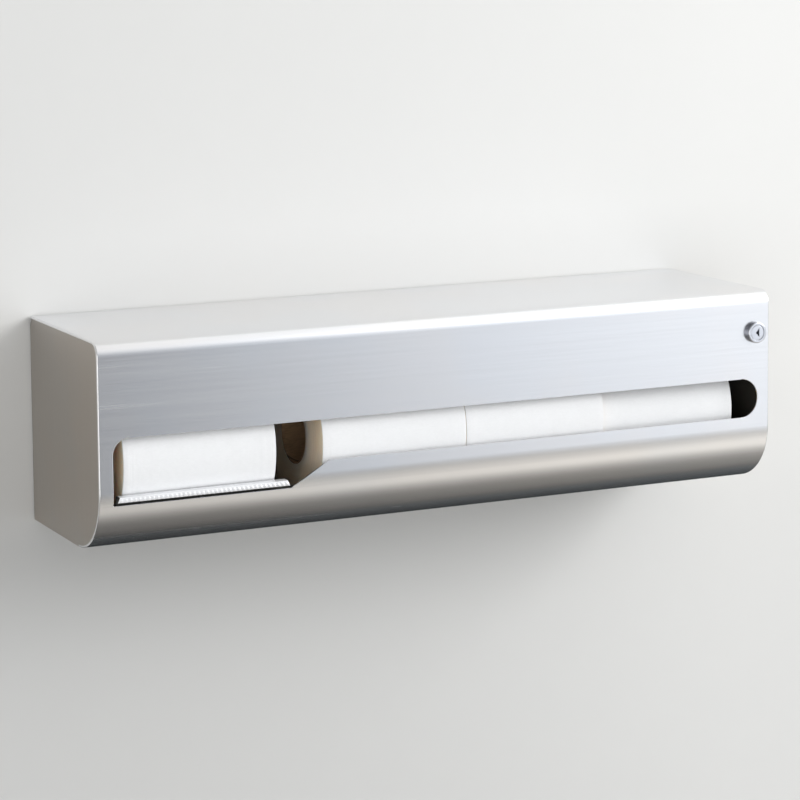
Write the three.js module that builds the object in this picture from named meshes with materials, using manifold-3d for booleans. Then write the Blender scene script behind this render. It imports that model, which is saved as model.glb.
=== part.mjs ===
// Toilet roll holder for four rolls in a row, with a bent stainless cover.
// Millimetres, +Z up. The wall is the plane y = 0 and the front faces -Y.
// The origin is the middle of the chassis's back face, on the wall.

import * as THREE from 'three';
import { mergeVertices } from 'three/addons/utils/BufferGeometryUtils.js';
import Module from 'manifold-3d';

const wasm = await Module();
wasm.setup();

// Cover
const coverWidth = 540;
const coverDepth = 145;
const coverHeight = 150;
const coverSheet = 1.5;
const topBend = 10;
const bottomBend = 46;
const wallGap = 0.5;
const panelWallGap = 1;
const panelCorner = 7;

// Window in the cover's front
const windowLeft = 10.5;
const windowRight = 10;
const windowRise = 20;
const slotHeight = 29.5;
const sillDrop = 10;
const deepOverRoll = 9.5;
const diagonalRun = 29;
const windowCorner = 12;

// Rolls
const rollWidth = 114;
const rollDiameter = 108;
const lastRollUse = 8;
const rollEdge = 1;
const coreBore = 42.6;
const coreWall = 1;
const firstRollLeft = 19.5;
const firstRollGap = 36;
const rollSpacing = 0.4;

// Clearances
const fitGap = 0.3;
const weldGap = 0.2;
const chassisSideGap = 0.5;
const overrun = 2;

// Wall chassis and its end brackets
const chassisSheet = 1.5;
const chassisBend = 2.5;
const chassisHeadroom = 2.5;
const slotInset = 70;
const upperSlotDrop = 22;
const lowerSlotDrop = 62;
const wallSlotWidth = 5.5;
const wallSlotLength = 12;
const bracketSheet = 1.5;
const bracketFrontGap = 11;
const bracketArcGap = 2.2;
const bracketTopGap = 5;
const bracketCornerDrop = 4;
const bracketCornerRun = 12;
const bracketTab = 14;
const bracketFlangeDrop = 7;
const bracketFlangeGap = 4;
const bracketRivetInset = 10;
const bumperTabDepth = 20;
const trayTabDepth = 40;

// Roll tray
const traySheet = 1.2;
const trayHingeGap = 0.5;
const trayBackGap = 1.3;
const trayShelfDrop = 5;
const trayFlangeHeight = 16;
const traySmallBend = 2.6;
const trayBackBend = 20.6;
const trayRampBend = 10;
const trayArcGap = 3.9;
const trayLipHeight = 9;
const trayScrewCount = 4;
const trayScrewInset = 90;

// Cutter strip
const cutterSheet = 1;
const cutterLeftGap = 1.3;
const cutterEndSlant = 2;
const cutterSill = 1;
const cutterFace = 5.5;
const cutterBend = 1;
const cutterFlangeRise = 1;
const cutterProud = 1.2;
const cutterDepth = 7.6;
const cutterRollGap = 0.5;
const rollFrontGap = 2.5;
const ridgePitch = 3;
const ridgeDepth = 0.7;
const ridgeFlat = 0.5;
const cutterScrewCount = 3;
const cutterScrewInset = 22;
const cutterScrewDrop = 3;

// Hinges
const pinRadius = 1.2;
const knuckleRadius = 2.6;
const knuckleLength = 12;
const knuckleCount = 5;
const knuckleGap = 0.4;
const leafSheet = 1;
const leafReach = 22;
const leafNotch = 3.6;
const hingeInset = 60;
const hingeSetback = 0.4;
const shelfEdgeGap = 5.5;
const hingeScrewCount = 2;

// Lock
const lockSideGap = 0.5;
const lockDrop = 31.5;
const ringLip = 0.7;
const ringHeight = 3.7;
const ringEdge = 0.9;
const barrelRadius = 7.3;
const barrelLength = 15;
const plugRadius = 5.6;
const plugRecess = 0.2;
const plugTail = 0.5;
const tangSide = 5;
const keywayHeight = 6.8;
const keywayWidth = 3;
const keywayDepth = 8;
const nutWall = 1.7;
const nutHeight = 3;
const camSheet = 1.5;
const camReach = 22;
const camWidth = 7;
const camHub = 6;
const strikeSheet = 1.5;
const strikeGap = 0.8;
const strikeRise = 11;
const strikeHeight = 11.5;
const strikeWidth = 16.5;
const strikeRivetGap = 0.5;
const strikeRivetCount = 2;
const strikeBend = 2;

// Small fasteners and bumpers
const screwHeadRadius = 3;
const screwHeadHeight = 1.4;
const screwShankRadius = 1.5;
const screwBackGap = 0.3;
const bumperRadius = 4;
const bumperStem = 1.5;
const bumperFootRadius = 2.8;
const bumperFootHeight = 1;

// Facets
const arcDivisions = 6;
const rollSides = 60;
const coreSides = 40;
const knuckleSides = 20;
const lockSides = 32;
const screwSides = 8;
const bumperSides = 20;
const hexSides = 6;

// Places that follow from the sizes above
const coverFront = -coverDepth;
const coverInnerFront = coverFront + coverSheet;
const bendCentreY = coverFront + bottomBend;
const bendCentreZ = bottomBend;
const leafLow = Math.max(chassisSheet, coverSheet) + fitGap;
const hingeY = bendCentreY + leafNotch + hingeSetback;
const hingeZ = leafLow + knuckleRadius;
const trayUnder = hingeZ + knuckleRadius + trayHingeGap;
const trayFloor = trayUnder + traySheet;
const rollRadius = rollDiameter / 2;
const lastRollRadius = rollRadius - lastRollUse / 2;
const rollBottom = trayFloor + fitGap;
const rollZ = rollBottom + rollRadius;
const tabY = -coverDepth / 2;
const chassisLeft = coverSheet + chassisSideGap;
const chassisWidth = coverWidth - 2 * chassisLeft;
const chassisTop = coverHeight - coverSheet - chassisHeadroom;
const bracketLeft = chassisLeft + chassisSideGap;
const bracketInner = bracketLeft + bracketSheet;
const trayLeft = bracketInner + fitGap;
const trayWidth = coverWidth - 2 * trayLeft;
const trayShelfTop = rollZ - trayShelfDrop;
const trayFlangeTop = trayShelfTop + trayFlangeHeight;
const bracketTop = coverHeight - bracketTopGap;
const bracketFlangeHigh = bracketTop - bracketFlangeDrop;
const bracketFlangeLow = trayFlangeTop + bracketFlangeGap;
const firstRollRight = firstRollLeft + rollWidth;
const firstSpareLeft = firstRollRight + firstRollGap;
const spareRoom = coverWidth - bracketInner - firstSpareLeft;
const spareRollCount = Math.floor(spareRoom / (rollWidth + rollSpacing));
const windowTop = rollZ + windowRise;
const windowSill = bendCentreZ - sillDrop;
const slotSill = windowTop - slotHeight;
const deepRight = firstRollRight + deepOverRoll;
const coverSillY = bendCentreY - Math.sqrt(bottomBend ** 2 - sillDrop ** 2);
const cutterLeft = windowLeft + cutterLeftGap;
const cutterLow = windowSill + cutterSill;
const cutterHigh = cutterLow + cutterFace;
const cutterFront = coverSillY - cutterProud;
const cutterBack = cutterFront + cutterDepth;
const rollBehindCutter = Math.sqrt(rollRadius ** 2 - (rollZ - cutterHigh) ** 2) + cutterRollGap;
const rollBehindCover = rollRadius + rollFrontGap;
const rollY = Math.max(coverInnerFront + rollBehindCover, cutterBack + rollBehindCutter);
const trayLipY = cutterBack + fitGap + traySheet / 2;
const trayRampTop = windowSill - trayLipHeight;
const ringRadius = barrelRadius + ringLip;
const lockX = coverWidth - bracketInner - ringRadius - lockSideGap;
const lockZ = coverHeight - lockDrop;
const barrelBack = coverFront + barrelLength;
const camFront = barrelBack + plugTail + fitGap;
const strikeLow = lockZ + strikeRise;
const strikeRivetStep = 2 * screwHeadRadius + strikeRivetGap;
const strikeLeg = (strikeRivetCount + 1) * strikeRivetStep;
const bumperHeight = coverHeight - coverSheet - bracketTop - 2 * fitGap;

// Materials, one for each finish
const finishes = {
  brushedSteel: { color: 0xc8ccd3, roughness: 0.34, metalness: 1 },
  panelSteel: { color: 0xb4b0ac, roughness: 0.38, metalness: 1 },
  chrome: { color: 0xe4e6ea, roughness: 0.12, metalness: 1 },
  plainSteel: { color: 0x9b9ea3, roughness: 0.42, metalness: 1 },
  darkPaint: { color: 0x2a2926, roughness: 0.7, metalness: 0 },
  cutterSteel: { color: 0xe9ebf0, roughness: 0.3, metalness: 0.4 },
  rubber: { color: 0x1c1c1c, roughness: 0.9, metalness: 0 },
  paper: { color: 0xf2f3f5, roughness: 0.95, metalness: 0 },
  cardboard: { color: 0x9a7d5f, roughness: 0.9, metalness: 0 },
};

// Solids and their cuts
function solidOf(geometry) {
  const bare = geometry.index ? geometry.toNonIndexed() : geometry.clone();
  bare.deleteAttribute('normal');
  bare.deleteAttribute('uv');
  const merged = mergeVertices(bare);
  const vertProperties = new Float32Array(merged.attributes.position.array);
  const triVerts = new Uint32Array(merged.index.array);
  return new wasm.Manifold(new wasm.Mesh({ numProp: 3, vertProperties, triVerts }));
}

function geometryOf(solid) {
  const mesh = solid.getMesh();
  const geometry = new THREE.BufferGeometry();
  geometry.setAttribute('position', new THREE.BufferAttribute(new Float32Array(mesh.vertProperties), 3));
  geometry.setIndex(new THREE.BufferAttribute(new Uint32Array(mesh.triVerts), 1));
  return geometry;
}

function cut(geometry, tools) {
  let solid = solidOf(geometry);
  for (const tool of tools) solid = solid.subtract(solidOf(tool));
  return geometryOf(solid);
}

function join(geometries) {
  let solid = solidOf(geometries[0]);
  for (const other of geometries.slice(1)) solid = solid.add(solidOf(other));
  return geometryOf(solid);
}

function common(geometry, tool) {
  return geometryOf(solidOf(geometry).intersect(solidOf(tool)));
}

// Prisms: an outline in two axes, drawn out along the third
function prism(shape, length, xAxis, yAxis, zAxis, origin) {
  const geometry = new THREE.ExtrudeGeometry(shape, {
    depth: length,
    bevelEnabled: false,
    curveSegments: arcDivisions,
  });
  const basis = new THREE.Matrix4().makeBasis(xAxis, yAxis, zAxis);
  geometry.applyMatrix4(basis.setPosition(origin));
  return geometry;
}

const alongX = new THREE.Vector3(1, 0, 0);
const alongY = new THREE.Vector3(0, 1, 0);
const alongZ = new THREE.Vector3(0, 0, 1);
const towardsFront = new THREE.Vector3(0, -1, 0);

// An outline in (y, z), drawn out along x
function prismX(shape, x, length) {
  return prism(shape, length, alongY, alongZ, alongX, new THREE.Vector3(x, 0, 0));
}

// An outline in (x, z), drawn out from y towards the front
function prismY(shape, y, length) {
  return prism(shape, length, alongX, alongZ, towardsFront, new THREE.Vector3(0, y, 0));
}

// An outline in (x, y), drawn out along z
function prismZ(shape, z, length) {
  return prism(shape, length, alongX, alongY, alongZ, new THREE.Vector3(0, 0, z));
}

function block(x, y, z, width, depth, height) {
  const geometry = new THREE.BoxGeometry(width, depth, height);
  geometry.translate(x + width / 2, y + depth / 2, z + height / 2);
  return geometry;
}

function outline(points) {
  return new THREE.Shape(points.map(([a, b]) => new THREE.Vector2(a, b)));
}

// The outline of a sheet of even thickness bent along a path of [a, b, bend radius]
function bentSheet(path, thickness) {
  const half = thickness / 2;
  const points = path.map(([a, b]) => new THREE.Vector2(a, b));
  const runs = points.slice(1).map((point, i) => point.clone().sub(points[i]).normalize());
  const corners = runs.slice(1).map((after, i) => {
    const before = runs[i];
    const turn = Math.atan2(before.cross(after), before.dot(after));
    const radius = path[i + 1][2];
    const tangent = radius * Math.tan(Math.abs(turn) / 2);
    const side = Math.sign(turn);
    const start = points[i + 1].clone().addScaledVector(before, -tangent);
    const centre = start.clone().add(new THREE.Vector2(-before.y, before.x).multiplyScalar(radius * side));
    const from = Math.atan2(start.y - centre.y, start.x - centre.x);
    return { centre, radius, side, from, to: from + turn };
  });
  const offset = (point, run, distance) =>
    new THREE.Vector2(point.x - run.y * distance, point.y + run.x * distance);
  const shape = new THREE.Shape();
  const back = offset(points[0], runs[0], -half);
  const first = offset(points[0], runs[0], half);
  shape.moveTo(back.x, back.y);
  shape.lineTo(first.x, first.y);
  for (const { centre, radius, side, from, to } of corners) {
    shape.absarc(centre.x, centre.y, radius - side * half, from, to, side < 0);
  }
  const last = runs[runs.length - 1];
  for (const distance of [half, -half]) {
    const end = offset(points[points.length - 1], last, distance);
    shape.lineTo(end.x, end.y);
  }
  for (const { centre, radius, side, from, to } of [...corners].reverse()) {
    shape.absarc(centre.x, centre.y, radius + side * half, to, from, side > 0);
  }
  return shape;
}

// Turned pieces: the profile is [radius, height], turned about z and then laid along a direction
function turned(profile, sides, direction, place) {
  const points = profile.map(([radius, height]) => new THREE.Vector2(radius, height));
  const geometry = new THREE.LatheGeometry(points, sides);
  geometry.applyQuaternion(new THREE.Quaternion().setFromUnitVectors(alongY, direction));
  geometry.translate(place.x, place.y, place.z);
  return geometry;
}

function tube(outer, inner, length, sides, direction, place) {
  const profile = [[inner, 0], [outer, 0], [outer, length], [inner, length], [inner, 0]];
  return turned(profile, sides, direction, place);
}

function rod(radius, length, sides, direction, place) {
  return turned([[0, 0], [radius, 0], [radius, length], [0, length]], sides, direction, place);
}

// A pan-head screw: its seat is the underside of the head, and direction points out of the head
function screw(shankLength, direction, seat) {
  const profile = [
    [0, -shankLength],
    [screwShankRadius, -shankLength],
    [screwShankRadius, 0],
    [screwHeadRadius, 0],
    [screwHeadRadius, screwHeadHeight / 2],
    [screwHeadRadius - screwHeadHeight / 2, screwHeadHeight],
    [0, screwHeadHeight],
  ];
  return turned(profile, screwSides, direction, seat);
}

function screwHole(depth, direction, seat) {
  const start = seat.clone().addScaledVector(direction, -depth - overrun);
  return rod(screwShankRadius + fitGap, depth + 2 * overrun, screwSides, direction, start);
}

function evenPlaces(count, first, last) {
  return Array.from({ length: count }, (_, i) => first + ((last - first) * i) / (count - 1));
}

// Mirrors a left-hand solid to the right end of the holder
function mirrored(geometry) {
  const copy = geometry.index ? geometry.toNonIndexed() : geometry.clone();
  const position = copy.attributes.position;
  for (let i = 0; i < position.count; i += 3) {
    const corner = [0, 2, 1].map((k) => new THREE.Vector3().fromBufferAttribute(position, i + k));
    corner.forEach((point, k) => position.setXYZ(i + k, coverWidth - point.x, point.y, point.z));
  }
  return copy;
}

function piece(group, name, geometry, finish) {
  const mesh = new THREE.Mesh(geometry, new THREE.MeshStandardMaterial(finishes[finish]));
  mesh.name = name;
  group.add(mesh);
}

// Cover sheet: top, front and round the bottom edge
function windowOutline() {
  const slotRadius = slotHeight / 2;
  const slotEnd = coverWidth - windowRight - slotRadius;
  const shape = new THREE.Shape();
  shape.moveTo(windowLeft, windowSill);
  shape.lineTo(deepRight, windowSill);
  shape.lineTo(deepRight + diagonalRun, slotSill);
  shape.lineTo(slotEnd, slotSill);
  shape.absarc(slotEnd, slotSill + slotRadius, slotRadius, -Math.PI / 2, Math.PI / 2, false);
  shape.lineTo(windowLeft + windowCorner, windowTop);
  shape.absarc(windowLeft + windowCorner, windowTop - windowCorner, windowCorner, Math.PI / 2, Math.PI, false);
  return shape;
}

function coverSheetPiece() {
  const mid = coverSheet / 2;
  const path = [
    [-wallGap, coverHeight - mid],
    [coverFront + mid, coverHeight - mid, topBend - mid],
    [coverFront + mid, mid, bottomBend - mid],
    [bendCentreY, mid],
  ];
  const sheet = prismX(bentSheet(path, coverSheet), 0, coverWidth);
  const opening = prismY(windowOutline(), coverInnerFront + overrun, coverSheet + 2 * overrun);
  const seat = new THREE.Vector3(lockX, coverInnerFront + overrun, lockZ);
  const lockHole = rod(barrelRadius + fitGap, coverSheet + 2 * overrun, lockSides, towardsFront, seat);
  return cut(sheet, [opening, lockHole]);
}

// Side panel: fills the bent sheet's end, flush with it
function sidePanelPiece() {
  const inset = coverSheet + weldGap;
  const top = coverHeight - inset;
  const front = coverFront + inset;
  const back = -panelWallGap;
  const foot = bendCentreY + weldGap;
  const shape = new THREE.Shape();
  shape.moveTo(back, 0);
  shape.lineTo(back, top - panelCorner);
  shape.absarc(back - panelCorner, top - panelCorner, panelCorner, 0, Math.PI / 2, false);
  shape.absarc(coverFront + topBend, coverHeight - topBend, topBend - inset, Math.PI / 2, Math.PI, false);
  shape.lineTo(front, bendCentreZ);
  shape.absarc(bendCentreY, bendCentreZ, bottomBend - inset, Math.PI, 1.5 * Math.PI, false);
  shape.lineTo(foot, inset);
  shape.lineTo(foot, 0);
  return prismX(shape, 0, coverSheet);
}

// Wall chassis: back plate and bottom shelf from one sheet
function wallSlots() {
  const radius = wallSlotWidth / 2;
  const reach = (wallSlotLength - wallSlotWidth) / 2;
  const slots = [];
  for (const x of [slotInset, coverWidth - slotInset]) {
    for (const drop of [upperSlotDrop, lowerSlotDrop]) {
      const z = coverHeight - drop;
      const shape = new THREE.Shape();
      shape.absarc(x, z + reach, radius, 0, Math.PI, false);
      shape.absarc(x, z - reach, radius, Math.PI, 2 * Math.PI, false);
      slots.push(prismY(shape, overrun, chassisSheet + 2 * overrun));
    }
  }
  return slots;
}

function chassisPiece(holes) {
  const mid = chassisSheet / 2;
  const path = [
    [-mid, chassisTop],
    [-mid, mid, chassisBend],
    [hingeY + shelfEdgeGap, mid],
  ];
  return cut(prismX(bentSheet(path, chassisSheet), chassisLeft, chassisWidth), [...wallSlots(), ...holes]);
}

// End bracket: a plate with a rear flange, a bumper tab and a tray tab
function bracketPiece(holes) {
  const back = -chassisSheet - fitGap;
  const front = coverFront + bracketFrontGap;
  const radius = bottomBend - coverSheet - bracketArcGap;
  const frontAngle = Math.acos((bendCentreY - front) / radius);
  const shelfEnd = hingeY + shelfEdgeGap;
  const shape = new THREE.Shape();
  shape.moveTo(back - chassisBend, leafLow);
  shape.lineTo(back, leafLow + chassisBend);
  shape.lineTo(back, bracketFlangeHigh);
  shape.lineTo(back - bracketFlangeDrop, bracketTop);
  shape.lineTo(front + bracketCornerRun, bracketTop);
  shape.lineTo(front, bracketTop - bracketCornerDrop);
  shape.absarc(bendCentreY, bendCentreZ, radius, Math.PI + frontAngle, 1.5 * Math.PI, false);
  shape.lineTo(shelfEnd, leafLow);
  const plate = prismX(shape, bracketLeft, bracketSheet);
  const flangeHeight = bracketFlangeHigh - bracketFlangeLow;
  const tab = bracketTab + bracketSheet;
  const flange = block(bracketLeft, back - bracketSheet, bracketFlangeLow, tab, bracketSheet, flangeHeight);
  const bumperTab = block(
    bracketLeft, tabY - bumperTabDepth / 2, bracketTop - bracketSheet,
    tab, bumperTabDepth, bracketSheet,
  );
  const trayTab = block(
    bracketLeft, tabY - trayTabDepth / 2, trayUnder - fitGap - bracketSheet,
    tab, trayTabDepth, bracketSheet,
  );
  return cut(join([plate, flange, bumperTab, trayTab]), holes);
}

// Roll tray: flange on the chassis, shelf, back wall, floor, ramp and front lip.
// The ramp is tangent to a circle around the centre of the cover's bottom bend.
function trayPiece(holes) {
  const mid = traySheet / 2;
  const flangeY = -chassisSheet - fitGap - mid;
  const shelfZ = trayShelfTop - mid;
  const wallY = rollY + rollRadius + trayBackGap + mid;
  const floorZ = trayFloor - mid;
  const toCentre = new THREE.Vector2(bendCentreY - trayLipY, bendCentreZ - trayRampTop);
  const rampReach = bottomBend - coverSheet - trayArcGap - mid;
  const rampSlope = Math.asin(rampReach / toCentre.length()) - toCentre.angle();
  const path = [
    [flangeY, trayFlangeTop],
    [flangeY, shelfZ, traySmallBend],
    [wallY, shelfZ, traySmallBend],
    [wallY, floorZ, trayBackBend],
    [trayLipY + (trayRampTop - floorZ) / Math.tan(rampSlope), floorZ, trayRampBend],
    [trayLipY, trayRampTop, trayRampBend],
    [trayLipY, windowSill],
  ];
  return cut(prismX(bentSheet(path, traySheet), trayLeft, trayWidth), holes);
}

// Cutter strip: a channel whose ridged face stands in the window above its sill
function cutterPiece(holes) {
  const mid = cutterSheet / 2;
  const length = deepRight - cutterLeft;
  const flangeFoot = trayRampTop + cutterFlangeRise;
  const flangeY = cutterBack - mid;
  const faceY = cutterFront + ridgeDepth + mid;
  const path = [
    [flangeY, flangeFoot],
    [flangeY, cutterHigh - mid, cutterBend],
    [faceY, cutterHigh - mid, cutterBend],
    [faceY, cutterLow],
  ];
  const channel = prismX(bentSheet(path, cutterSheet), cutterLeft, length);
  const root = faceY - mid;
  const ridges = [[cutterLeft, faceY]];
  const count = Math.floor(length / ridgePitch);
  const start = cutterLeft + (length - count * ridgePitch) / 2;
  for (let i = 0; i < count; i += 1) {
    const x = start + i * ridgePitch;
    ridges.push([x, root], [x + (ridgePitch - ridgeFlat) / 2, root - ridgeDepth]);
    ridges.push([x + (ridgePitch + ridgeFlat) / 2, root - ridgeDepth]);
  }
  ridges.push([start + count * ridgePitch, root], [deepRight, faceY]);
  const face = prismZ(outline(ridges.reverse()), cutterLow, cutterFace);
  const slanted = outline([
    [cutterLeft - cutterEndSlant, flangeFoot - overrun],
    [cutterLeft, cutterLow],
    [cutterLeft + cutterEndSlant, cutterHigh],
    [cutterLeft + cutterEndSlant, cutterHigh + overrun],
    [deepRight - cutterEndSlant, cutterHigh + overrun],
    [deepRight - cutterEndSlant, cutterHigh],
    [deepRight, cutterLow],
    [deepRight + cutterEndSlant, flangeFoot - overrun],
  ]);
  const depth = cutterBack - cutterFront + 2 * overrun;
  return cut(common(join([channel, face]), prismY(slanted, cutterBack + overrun, depth)), holes);
}

// Hinges: interleaved knuckles on a pin, a flat leaf on the shelf and a curved leaf in the cover
const hingeLength = knuckleCount * knuckleLength;
const hingeStarts = [hingeInset, coverWidth - hingeInset - hingeLength];

function knuckles(hingeX, isOwn, webSide) {
  const solids = [];
  for (let i = 0; i < knuckleCount; i += 1) {
    if (!isOwn(i)) continue;
    const x = hingeX + i * knuckleLength + knuckleGap / 2;
    const length = knuckleLength - knuckleGap;
    const place = new THREE.Vector3(x, hingeY, hingeZ);
    const reach = leafNotch + leafSheet;
    const webY = webSide > 0 ? hingeY : hingeY - reach;
    solids.push(block(x, webY, leafLow, length, reach, leafSheet));
    solids.push(rod(knuckleRadius, length, knuckleSides, alongX, place));
  }
  return solids;
}

function pinBore(hingeX) {
  const place = new THREE.Vector3(hingeX - overrun, hingeY, hingeZ);
  return rod(pinRadius + fitGap, hingeLength + 2 * overrun, knuckleSides, alongX, place);
}

function fixedLeaf(hingeX, holes) {
  const plate = block(hingeX, hingeY + leafNotch, leafLow, hingeLength, leafReach - leafNotch, leafSheet);
  return cut(join([plate, ...knuckles(hingeX, (i) => i % 2 === 0, 1)]), [pinBore(hingeX), ...holes]);
}

function movingLeaf(hingeX) {
  const outer = bottomBend - coverSheet - fitGap;
  const inner = outer - leafSheet;
  const sweep = leafReach / outer;
  const down = 1.5 * Math.PI;
  const shape = new THREE.Shape();
  shape.absarc(bendCentreY, bendCentreZ, outer, down - sweep, down, false);
  shape.lineTo(hingeY - leafNotch, leafLow);
  shape.lineTo(hingeY - leafNotch, leafLow + leafSheet);
  shape.absarc(bendCentreY, bendCentreZ, inner, down, down - sweep, true);
  const plate = prismX(shape, hingeX, hingeLength);
  return cut(join([plate, ...knuckles(hingeX, (i) => i % 2 === 1, -1)]), [pinBore(hingeX)]);
}

function hingePin(hingeX) {
  const place = new THREE.Vector3(hingeX, hingeY, hingeZ);
  return rod(pinRadius, hingeLength, knuckleSides, alongX, place);
}

// Lock: barrel with its ring, nut, plug with the keyway, cam and strike
function lockBarrel() {
  const ringFoot = fitGap;
  const ringTop = fitGap + ringHeight;
  const bore = plugRadius + fitGap;
  const profile = [
    [bore, -barrelLength],
    [barrelRadius, -barrelLength],
    [barrelRadius, ringFoot],
    [ringRadius, ringFoot],
    [ringRadius, ringTop - ringEdge],
    [ringRadius - ringEdge / 3, ringTop - ringEdge / 3],
    [ringRadius - ringEdge, ringTop],
    [bore, ringTop],
    [bore, -barrelLength],
  ];
  return turned(profile, lockSides, towardsFront, new THREE.Vector3(lockX, coverFront, lockZ));
}

function lockNut() {
  const circumradius = (2 * (barrelRadius + nutWall)) / Math.sqrt(3);
  const corners = Array.from({ length: hexSides }, (_, i) => {
    const angle = ((i + 0.5) * 2 * Math.PI) / hexSides;
    return [lockX + circumradius * Math.cos(angle), lockZ + circumradius * Math.sin(angle)];
  });
  const shape = outline(corners);
  const hole = new THREE.Path();
  hole.absarc(lockX, lockZ, barrelRadius + fitGap, 0, 2 * Math.PI, true);
  shape.holes.push(hole);
  return prismY(shape, coverInnerFront + fitGap + nutHeight, nutHeight);
}

function squareAround(x, z, side) {
  const half = side / 2;
  return [[x - half, z - half], [x + half, z - half], [x + half, z + half], [x - half, z + half]];
}

function lockPlug() {
  const face = coverFront - fitGap - ringHeight + plugRecess;
  const back = barrelBack + plugTail;
  const tangEnd = camFront + camSheet;
  const body = rod(plugRadius, back - face, lockSides, alongY, new THREE.Vector3(lockX, face, lockZ));
  const tang = prismY(outline(squareAround(lockX, lockZ, tangSide)), tangEnd, tangEnd - back + overrun);
  const keyway = outline([
    [lockX - keywayWidth / 2, lockZ],
    [lockX + keywayWidth / 2, lockZ - keywayHeight / 2],
    [lockX + keywayWidth / 2, lockZ + keywayHeight / 2],
  ]);
  const hole = new THREE.Vector3(lockX, camFront - overrun, lockZ);
  const screwBore = rod(screwShankRadius + fitGap, camSheet + 2 * overrun, screwSides, alongY, hole);
  return cut(join([body, tang]), [prismY(keyway, face + keywayDepth, keywayDepth + overrun), screwBore]);
}

function lockCam() {
  const half = camWidth / 2;
  const tip = lockX - camReach + half;
  const meet = Math.asin(half / camHub);
  const shape = new THREE.Shape();
  shape.absarc(lockX, lockZ, camHub, Math.PI + meet, 3 * Math.PI - meet, false);
  shape.absarc(tip, lockZ, half, Math.PI / 2, 1.5 * Math.PI, false);
  const hole = new THREE.Path(
    squareAround(lockX, lockZ, tangSide + 2 * fitGap).reverse().map(([a, b]) => new THREE.Vector2(a, b)),
  );
  shape.holes.push(hole);
  return prismY(shape, camFront + camSheet, camSheet);
}

function lockStrike(holes) {
  const mid = strikeSheet / 2;
  const right = coverWidth - trayLeft;
  const frontY = camFront - strikeGap - mid;
  const path = [
    [right - strikeWidth, frontY],
    [right - mid, frontY, strikeBend],
    [right - mid, frontY + strikeLeg],
  ];
  return cut(prismZ(bentSheet(path, strikeSheet), strikeLow, strikeHeight), holes);
}

// Bumper: a rubber dome, a stem through the bracket's tab and a foot under it
function bumper(side) {
  const stemLength = bracketSheet + 2 * fitGap;
  const profile = [
    [0, -stemLength - bumperFootHeight],
    [bumperFootRadius, -stemLength - bumperFootHeight],
    [bumperFootRadius, -stemLength],
    [bumperStem, -stemLength],
    [bumperStem, 0],
    [bumperRadius, 0],
    [bumperRadius, bumperHeight / 2],
    [bumperRadius / 2, bumperHeight],
    [0, bumperHeight],
  ];
  return turned(profile, bumperSides, alongZ, bumperPlace(side));
}

function bumperPlace(side) {
  const fromEnd = bracketInner + bracketTab / 2;
  const x = side < 0 ? fromEnd : coverWidth - fromEnd;
  return new THREE.Vector3(x, tabY, bracketTop + fitGap);
}

// Rolls: a paper winding on a cardboard core
function rollPaper(left, radius) {
  const bore = coreBore / 2 + coreWall + fitGap;
  const profile = [
    [bore, 0],
    [radius - rollEdge, 0],
    [radius, rollEdge],
    [radius, rollWidth - rollEdge],
    [radius - rollEdge, rollWidth],
    [bore, rollWidth],
    [bore, 0],
  ];
  return turned(profile, rollSides, alongX, new THREE.Vector3(left, rollY, rollBottom + radius));
}

function rollCore(left, radius) {
  const inner = coreBore / 2;
  const place = new THREE.Vector3(left, rollY, rollBottom + radius);
  return tube(inner + coreWall, inner, rollWidth, coreSides, alongX, place);
}

// Seats of the screws and rivets
const trayFlangeFace = -chassisSheet - fitGap - traySheet;
const trayScrewZ = trayFlangeTop - trayFlangeHeight / 2;
const trayScrewSeats = evenPlaces(trayScrewCount, trayScrewInset, coverWidth - trayScrewInset)
  .map((x) => new THREE.Vector3(x, trayFlangeFace - fitGap, trayScrewZ));
const trayShank = -trayFlangeFace + fitGap - screwBackGap;

const bracketRivetSeats = [-1, 1].flatMap((side) =>
  [bracketFlangeLow + bracketRivetInset, bracketFlangeHigh - bracketRivetInset].map((z) => {
    const fromEnd = bracketInner + bracketTab / 2;
    const x = side < 0 ? fromEnd : coverWidth - fromEnd;
    return new THREE.Vector3(x, -chassisSheet - 2 * fitGap - bracketSheet, z);
  }));
const bracketShank = chassisSheet + bracketSheet + 2 * fitGap - screwBackGap;

const cutterFlangeFace = cutterBack - cutterSheet;
const cutterScrewZ = windowSill - cutterScrewDrop;
const cutterScrewSeats = evenPlaces(cutterScrewCount, cutterLeft + cutterScrewInset, deepRight - cutterScrewInset)
  .map((x) => new THREE.Vector3(x, cutterFlangeFace - fitGap, cutterScrewZ));
const cutterShank = cutterSheet + traySheet + 2 * fitGap;

const hingeScrewInset = knuckleLength / 2;
const hingeScrewSeats = hingeStarts.map((hingeX) =>
  evenPlaces(hingeScrewCount, hingeX + hingeScrewInset, hingeX + hingeLength - hingeScrewInset)
    .map((x) => new THREE.Vector3(x, hingeY + (leafReach + leafNotch) / 2, leafLow + leafSheet + fitGap)));
const hingeShank = leafSheet + chassisSheet + 2 * fitGap - screwBackGap;

const strikeInner = coverWidth - trayLeft - strikeSheet;
const strikeRivetSeats = Array.from({ length: strikeRivetCount }, (_, i) => new THREE.Vector3(
  strikeInner - fitGap,
  camFront - strikeGap + (i + 1) * strikeRivetStep,
  strikeLow + strikeHeight / 2,
));
const strikeShank = strikeSheet + bracketSheet + 2 * fitGap;
const towardsLeft = new THREE.Vector3(-1, 0, 0);

function addScrews(group, name, seats, shank, direction) {
  seats.forEach((seat, i) => piece(group, `${name}_${i + 1}`, screw(shank, direction, seat), 'plainSteel'));
}

function holesFor(seats, shank, direction) {
  return seats.map((seat) => screwHole(shank, direction, seat));
}

function bumperHole(side) {
  const place = bumperPlace(side);
  place.z -= bracketSheet + fitGap + overrun;
  return rod(bumperStem + fitGap, bracketSheet + 2 * overrun, bumperSides, alongZ, place);
}

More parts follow.
